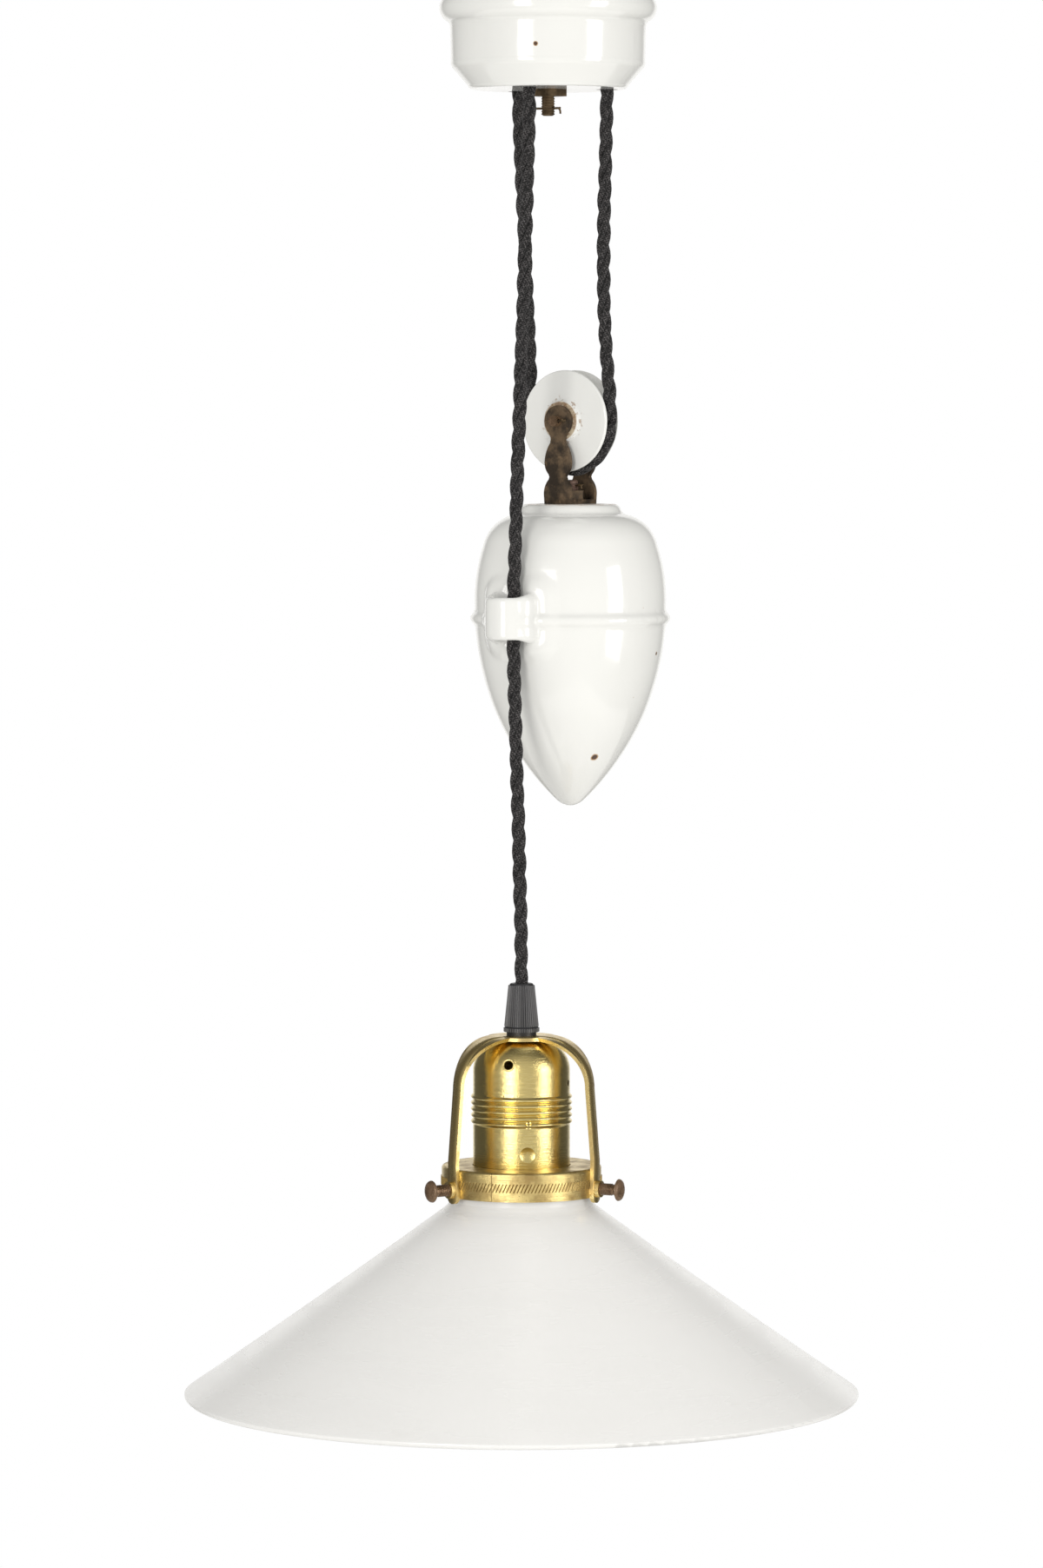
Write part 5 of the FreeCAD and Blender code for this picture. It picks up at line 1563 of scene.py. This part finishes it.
@dataclass
class Lamp:
    """The ribbed cord grip, the lampholder's rolled shell, and the gallery's knurl and threads."""

    shop: Workshop
    axis_y: float = -21.0
    top: float = -410.2
    grip_ribs: int = 44
    knurls: int = 140
    gallery_radius: float = 31.6
    arm_angles: tuple[float, ...] = (-116.0, 4.0, 124.0)
    screw_drop: float = 59.4
    vent_heading: float = -76.0
    vent_lift: float = 17.4
    vent_radius: float = 1.75
    vent_bead: float = 0.42
    dome_radius: float = 12.4
    dome_drop: float = 1.5
    grip_foot: tuple[float, float] = (6.35, 3.6)
    grip_top: tuple[float, float] = (4.72, 19.8)
    band_radius: float = 7.1
    rib_half: float = 0.26
    rib_proud: float = 0.5
    knurl_height: float = -467.6
    stroke_half: float = 0.30
    stroke_proud: float = 0.32
    stroke_rise: float = 1.7
    stroke_lean: float = 0.78
    holder_radius: float = 19.2
    holder_bore: float = 18.5
    holder_mouth: float = 16.8
    holder_foot: float = -59.3
    band_top: float = -22.8
    band_pitch: float = 2.4
    band_height: float = 0.85
    band_ribs: int = 5
    screw_start: float = 35.2
    screw_radius: float = 2.1
    screw_pitch: float = 0.72
    screw_length: float = 5.6
    body: str = "lamp"

    def ribs(self) -> None:
        """Upright ribs round the cord grip's tapered body, and teeth round its base band."""
        half, proud = self.rib_half, self.rib_proud
        slope, side = proud * 0.8, half * 0.6
        section = [(-0.2, -half), (slope, -side), (proud, 0.0), (slope, side), (-0.2, half)]
        rib_ends = [
            [(x + radius - self.grip_foot[0], y, z) for x, y in section]
            for radius, z in (self.grip_foot, self.grip_top)
        ]
        point = [(-0.25, -half), (0.0, 0.0), (-0.25, half)]
        tooth_ends = [[(x, y, z) for x, y in point] for z in (1.5, 3.0)]
        placed = Matrix.Translation(metres(0, self.axis_y, self.top))
        # The ribs and teeth take the lighter copy of the grip's plastic, a painted highlight on
        # their tops.
        paint = self.shop.wardrobe.material(GRIP_RIB_HIGHLIGHT)
        for name, ends, radius, angle in (
            ("grip_ribs", rib_ends, self.grip_foot[0], 50.0),
            ("grip_teeth", tooth_ends, self.band_radius, 30.0),
        ):
            rib = prism(name, *ends)
            mesh = self.shop.rounds.lay(rib, self.grip_ribs, radius * MM, paint, placed)
            self.shop.put(name, shade(mesh, angle), self.body, "grey_plastic", GRIP_RIB_HIGHLIGHT)

    def knurl(self) -> None:
        """The slanting strokes rolled round the gallery ring."""
        half, depth, proud = self.stroke_half, 0.12, self.stroke_proud
        rise, lean = self.stroke_rise, self.stroke_lean
        ends = [
            [(-depth, shift - half, z), (proud, shift, z), (-depth, shift + half, z)]
            for z, shift in ((-rise, -lean), (rise, lean))
        ]
        placed = Matrix.Translation(metres(0, self.axis_y, self.knurl_height))
        paint, radius = self.shop.wardrobe.material(KNURL_BRASS), self.gallery_radius * MM
        mesh = self.shop.rounds.lay(prism("stroke", *ends), self.knurls, radius, paint, placed)
        self.shop.put("gallery_knurl", shade(mesh, 20.0), self.body, "aged_brass", KNURL_BRASS)

    def shell(self) -> None:
        """The lampholder's lower shell with its rolled ribs."""
        foot, radius = self.holder_foot, self.holder_radius
        top, ribs = self.band_top, self.band_ribs
        bore, mouth, lip = self.holder_bore, self.holder_mouth, foot + 1.0
        outline = [(bore, top), (bore, lip), (mouth, lip), (mouth, foot), (radius - 1.0, foot)]
        outline += [(radius - 0.2, foot + 0.3), (radius, lip)]
        low, high = top - ribs * self.band_pitch - 0.4, top - 0.15
        outline.append((radius, low - 0.35))
        steps = ribs * 12
        for share in (i / steps for i in range(steps + 1)):
            wave = 0.5 - 0.5 * math.cos(math.tau * share * ribs)
            outline.append((radius + self.band_height * wave**0.75, low + share * (high - low)))
        outline.append((radius, top))
        mesh = turned("holder_shell", outline, 160)
        mesh.transform(Matrix.Translation(metres(0, self.axis_y, self.top)))
        node, slot = "lampholder_shell", "polished_brass"
        self.shop.put("holder_shell", shade(mesh, 35.0), self.body, slot, HOLDER_BRASS, node)

    def vent(self) -> None:
        """The rolled lip round the small vent hole in the cap's shoulder."""
        bore, bead = self.vent_radius, self.vent_bead
        ring = [
            (bore + bead * (1 + math.cos(a)), bead * 0.8 * math.sin(a))
            for a in np.linspace(0.0, math.tau, 12, endpoint=False)
        ]
        mesh = turned("vent_lip", ring, 48)
        heading = Matrix.Rotation(math.radians(self.vent_heading), 4, "Z")
        tilt = Matrix.Rotation(math.radians(90 - self.vent_lift), 4, "Y")
        centre = metres(0, self.axis_y, self.top - self.dome_drop - self.dome_radius)
        start = heading @ metres(self.holder_radius - self.dome_radius, 0, 0)
        out = heading @ tilt @ metres(0, 0, self.dome_radius)
        mesh.transform(Matrix.Translation(centre + start + out) @ heading @ tilt)
        self.shop.put("vent_lip", shade(mesh, 60.0), self.body, "polished_brass", BRIGHT_BRASS)

    def screws(self) -> None:
        """Thread on the bare neck of each gallery screw."""
        size = (self.screw_radius, self.screw_pitch, self.screw_length)
        level = Matrix.Rotation(math.pi / 2, 3, "Y")
        for index, angle in enumerate(self.arm_angles, start=1):
            name, body = f"gallery_screw_thread_{index}", f"gallery_screw_body_{index}"
            turn = Matrix.Rotation(math.radians(angle), 3, "Z") @ level
            start = turn @ Vector((0, 0, self.screw_start))
            foot = (start.x, start.y + self.axis_y, self.top - self.screw_drop)
            Thread(name, *size, foot, turn, body, "bronzed_steel", SCREW_IRON).build(self.shop)

    def build(self) -> None:
        """Make every piece of the lamp's detail."""
        for make in (self.ribs, self.knurl, self.shell, self.vent, self.screws):
            make()


# --------------------------------------------------------------------------------------------
# Studio


@dataclass
class Softbox:
    """A tall lamp on one side of the camera, aimed at the pendant."""

    name: str
    heading: float
    width: float
    height: float
    distance: float
    middle: float
    power: float
    colour: Colour = (1.0, 0.985, 0.96)

    def build(self, camera_heading: float) -> None:
        """Hang the lamp.

        Args:
            camera_heading: The camera's heading, in degrees.
        """
        light = bpy.data.lights.new(self.name, "AREA")
        light.shape = "RECTANGLE"
        light.size, light.size_y = self.width, self.height
        light.energy = self.power
        light.color = self.colour
        lamp = stood(self.name, light)
        angle = camera_heading + self.heading
        way = Vector((math.sin(math.radians(angle)), -math.cos(math.radians(angle)), 0.0))
        lamp.location = Vector((0.0, 0.0, self.middle)) + way * self.distance
        lamp.rotation_euler = way.to_track_quat("Z", "Y").to_euler()


@dataclass
class Studio:
    """White surroundings, soft lamps, a pale floor and the camera."""

    heading: float = 30.0
    distance: float = 2.514
    eye_height: float = -0.1636
    lens: float = 146.5
    sensor: float = 36.0
    pitch: float = 3.35
    ambient: float = 0.76
    ambient_colour: Colour = (1.0, 0.995, 0.985)
    mirrored: tuple[tuple[float, float], ...] = (
        (0.0, 1.0),
        (0.03, 1.0),
        (0.07, 0.12),
        (0.42, 0.08),
        (0.66, 0.22),
        (0.84, 0.50),
        (1.0, 0.62),
    )
    floor_height: float = -0.95
    floor_reach: float = 0.9
    boxes: tuple[Softbox, ...] = (
        Softbox("left_box", -27.0, 0.42, 0.98, 1.35, -0.26, 6.5),
        Softbox("right_box", 56.0, 0.46, 0.98, 1.35, -0.26, 6.3),
    )

    def camera(self) -> None:
        """Stand the camera at the photograph's viewing angle."""
        data = bpy.data.cameras.new("camera")
        data.lens = self.lens
        data.sensor_width = self.sensor
        data.clip_start, data.clip_end = 0.05, 50.0
        camera = stood("camera", data)
        angle = math.radians(self.heading)
        back = Vector((math.sin(angle), -math.cos(angle), 0.0))
        camera.location = Vector((*LAMP_AXIS[:2], self.eye_height)) + back * self.distance
        look = Vector((-back.x, -back.y, -math.tan(math.radians(self.pitch))))
        camera.rotation_euler = look.to_track_quat("-Z", "Y").to_euler()
        bpy.context.scene.camera = camera

    def surroundings(self) -> None:
        """White to the eye and in reflections behind the pendant, darker to its sides."""
        world = bpy.data.worlds.new("studio")
        world.use_nodes = True
        tree = Tree(world.node_tree)
        where = tree.node("ShaderNodeTexCoord").outputs["Generated"]
        angle = math.radians(self.heading)
        back = (math.sin(angle), -math.cos(angle), 0.0)
        dot = {"operation": "DOT_PRODUCT"}
        facing = tree.node("ShaderNodeVectorMath", dot, {0: where, 1: back})
        span = {"Value": facing.outputs["Value"], "From Min": -1.0, "From Max": 1.0}
        share = tree.node("ShaderNodeMapRange", None, span).outputs["Result"]
        ramp = tree.node("ShaderNodeValToRGB", None, {"Fac": share})
        stops = ramp.color_ramp.elements
        while len(stops) < len(self.mirrored):
            stops.new(0.5)
        for stop, (at, tone) in zip(stops, self.mirrored):
            stop.position = at
            stop.color = (tone, tone * 0.99, tone * 0.97, 1.0)
        rays = tree.node("ShaderNodeLightPath").outputs
        shown = tree.mix(rays["Is Camera Ray"], ramp.outputs["Color"], (1.0, 1.0, 1.0))
        glancing = tree.math("MAXIMUM", rays["Is Glossy Ray"], rays["Is Transmission Ray"])
        either = tree.math("MAXIMUM", glancing, rays["Is Camera Ray"])
        light = {"Color": self.ambient_colour, "Strength": self.ambient}
        soft = tree.node("ShaderNodeBackground", None, light).outputs[0]
        seen = tree.node("ShaderNodeBackground", None, {"Color": shown}).outputs[0]
        both = tree.node("ShaderNodeMixShader", None, {0: either, 1: soft, 2: seen}).outputs[0]
        tree.node("ShaderNodeOutputWorld", None, {"Surface": both})
        bpy.context.scene.world = world

    def floor(self) -> None:
        """A pale floor well below the shade."""
        mesh = bpy.data.meshes.new("floor")
        r, z = self.floor_reach, self.floor_height
        mesh.from_pydata([(-r, -r, z), (r, -r, z), (r, r, z), (-r, r, z)], [], [(0, 1, 2, 3)])
        floor = stood("floor", mesh)
        paint = Moulded("floor_paint", (0.86, 0.86, 0.85), 0.8, 0.004, 0.01)
        mesh.materials.append(paint.material())

    def build(self) -> None:
        """Set up the whole studio."""
        bpy.context.scene.view_settings.view_transform = "Standard"
        self.surroundings()
        self.floor()
        for box in self.boxes:
            box.build(self.heading)
        self.camera()


def main() -> None:
    """Build the pendant's visual model in order."""
    logging.basicConfig(level=logging.INFO, format="%(name)s: %(message)s")
    Studio().build()
    shop = Workshop()
    TwistedFlex(shop).build()
    shop.wardrobe.dress_nodes()
    for part in (CeilingFitting, Counterweight, Lamp):
        part(shop).build()


if __name__ == "__main__":
    main()
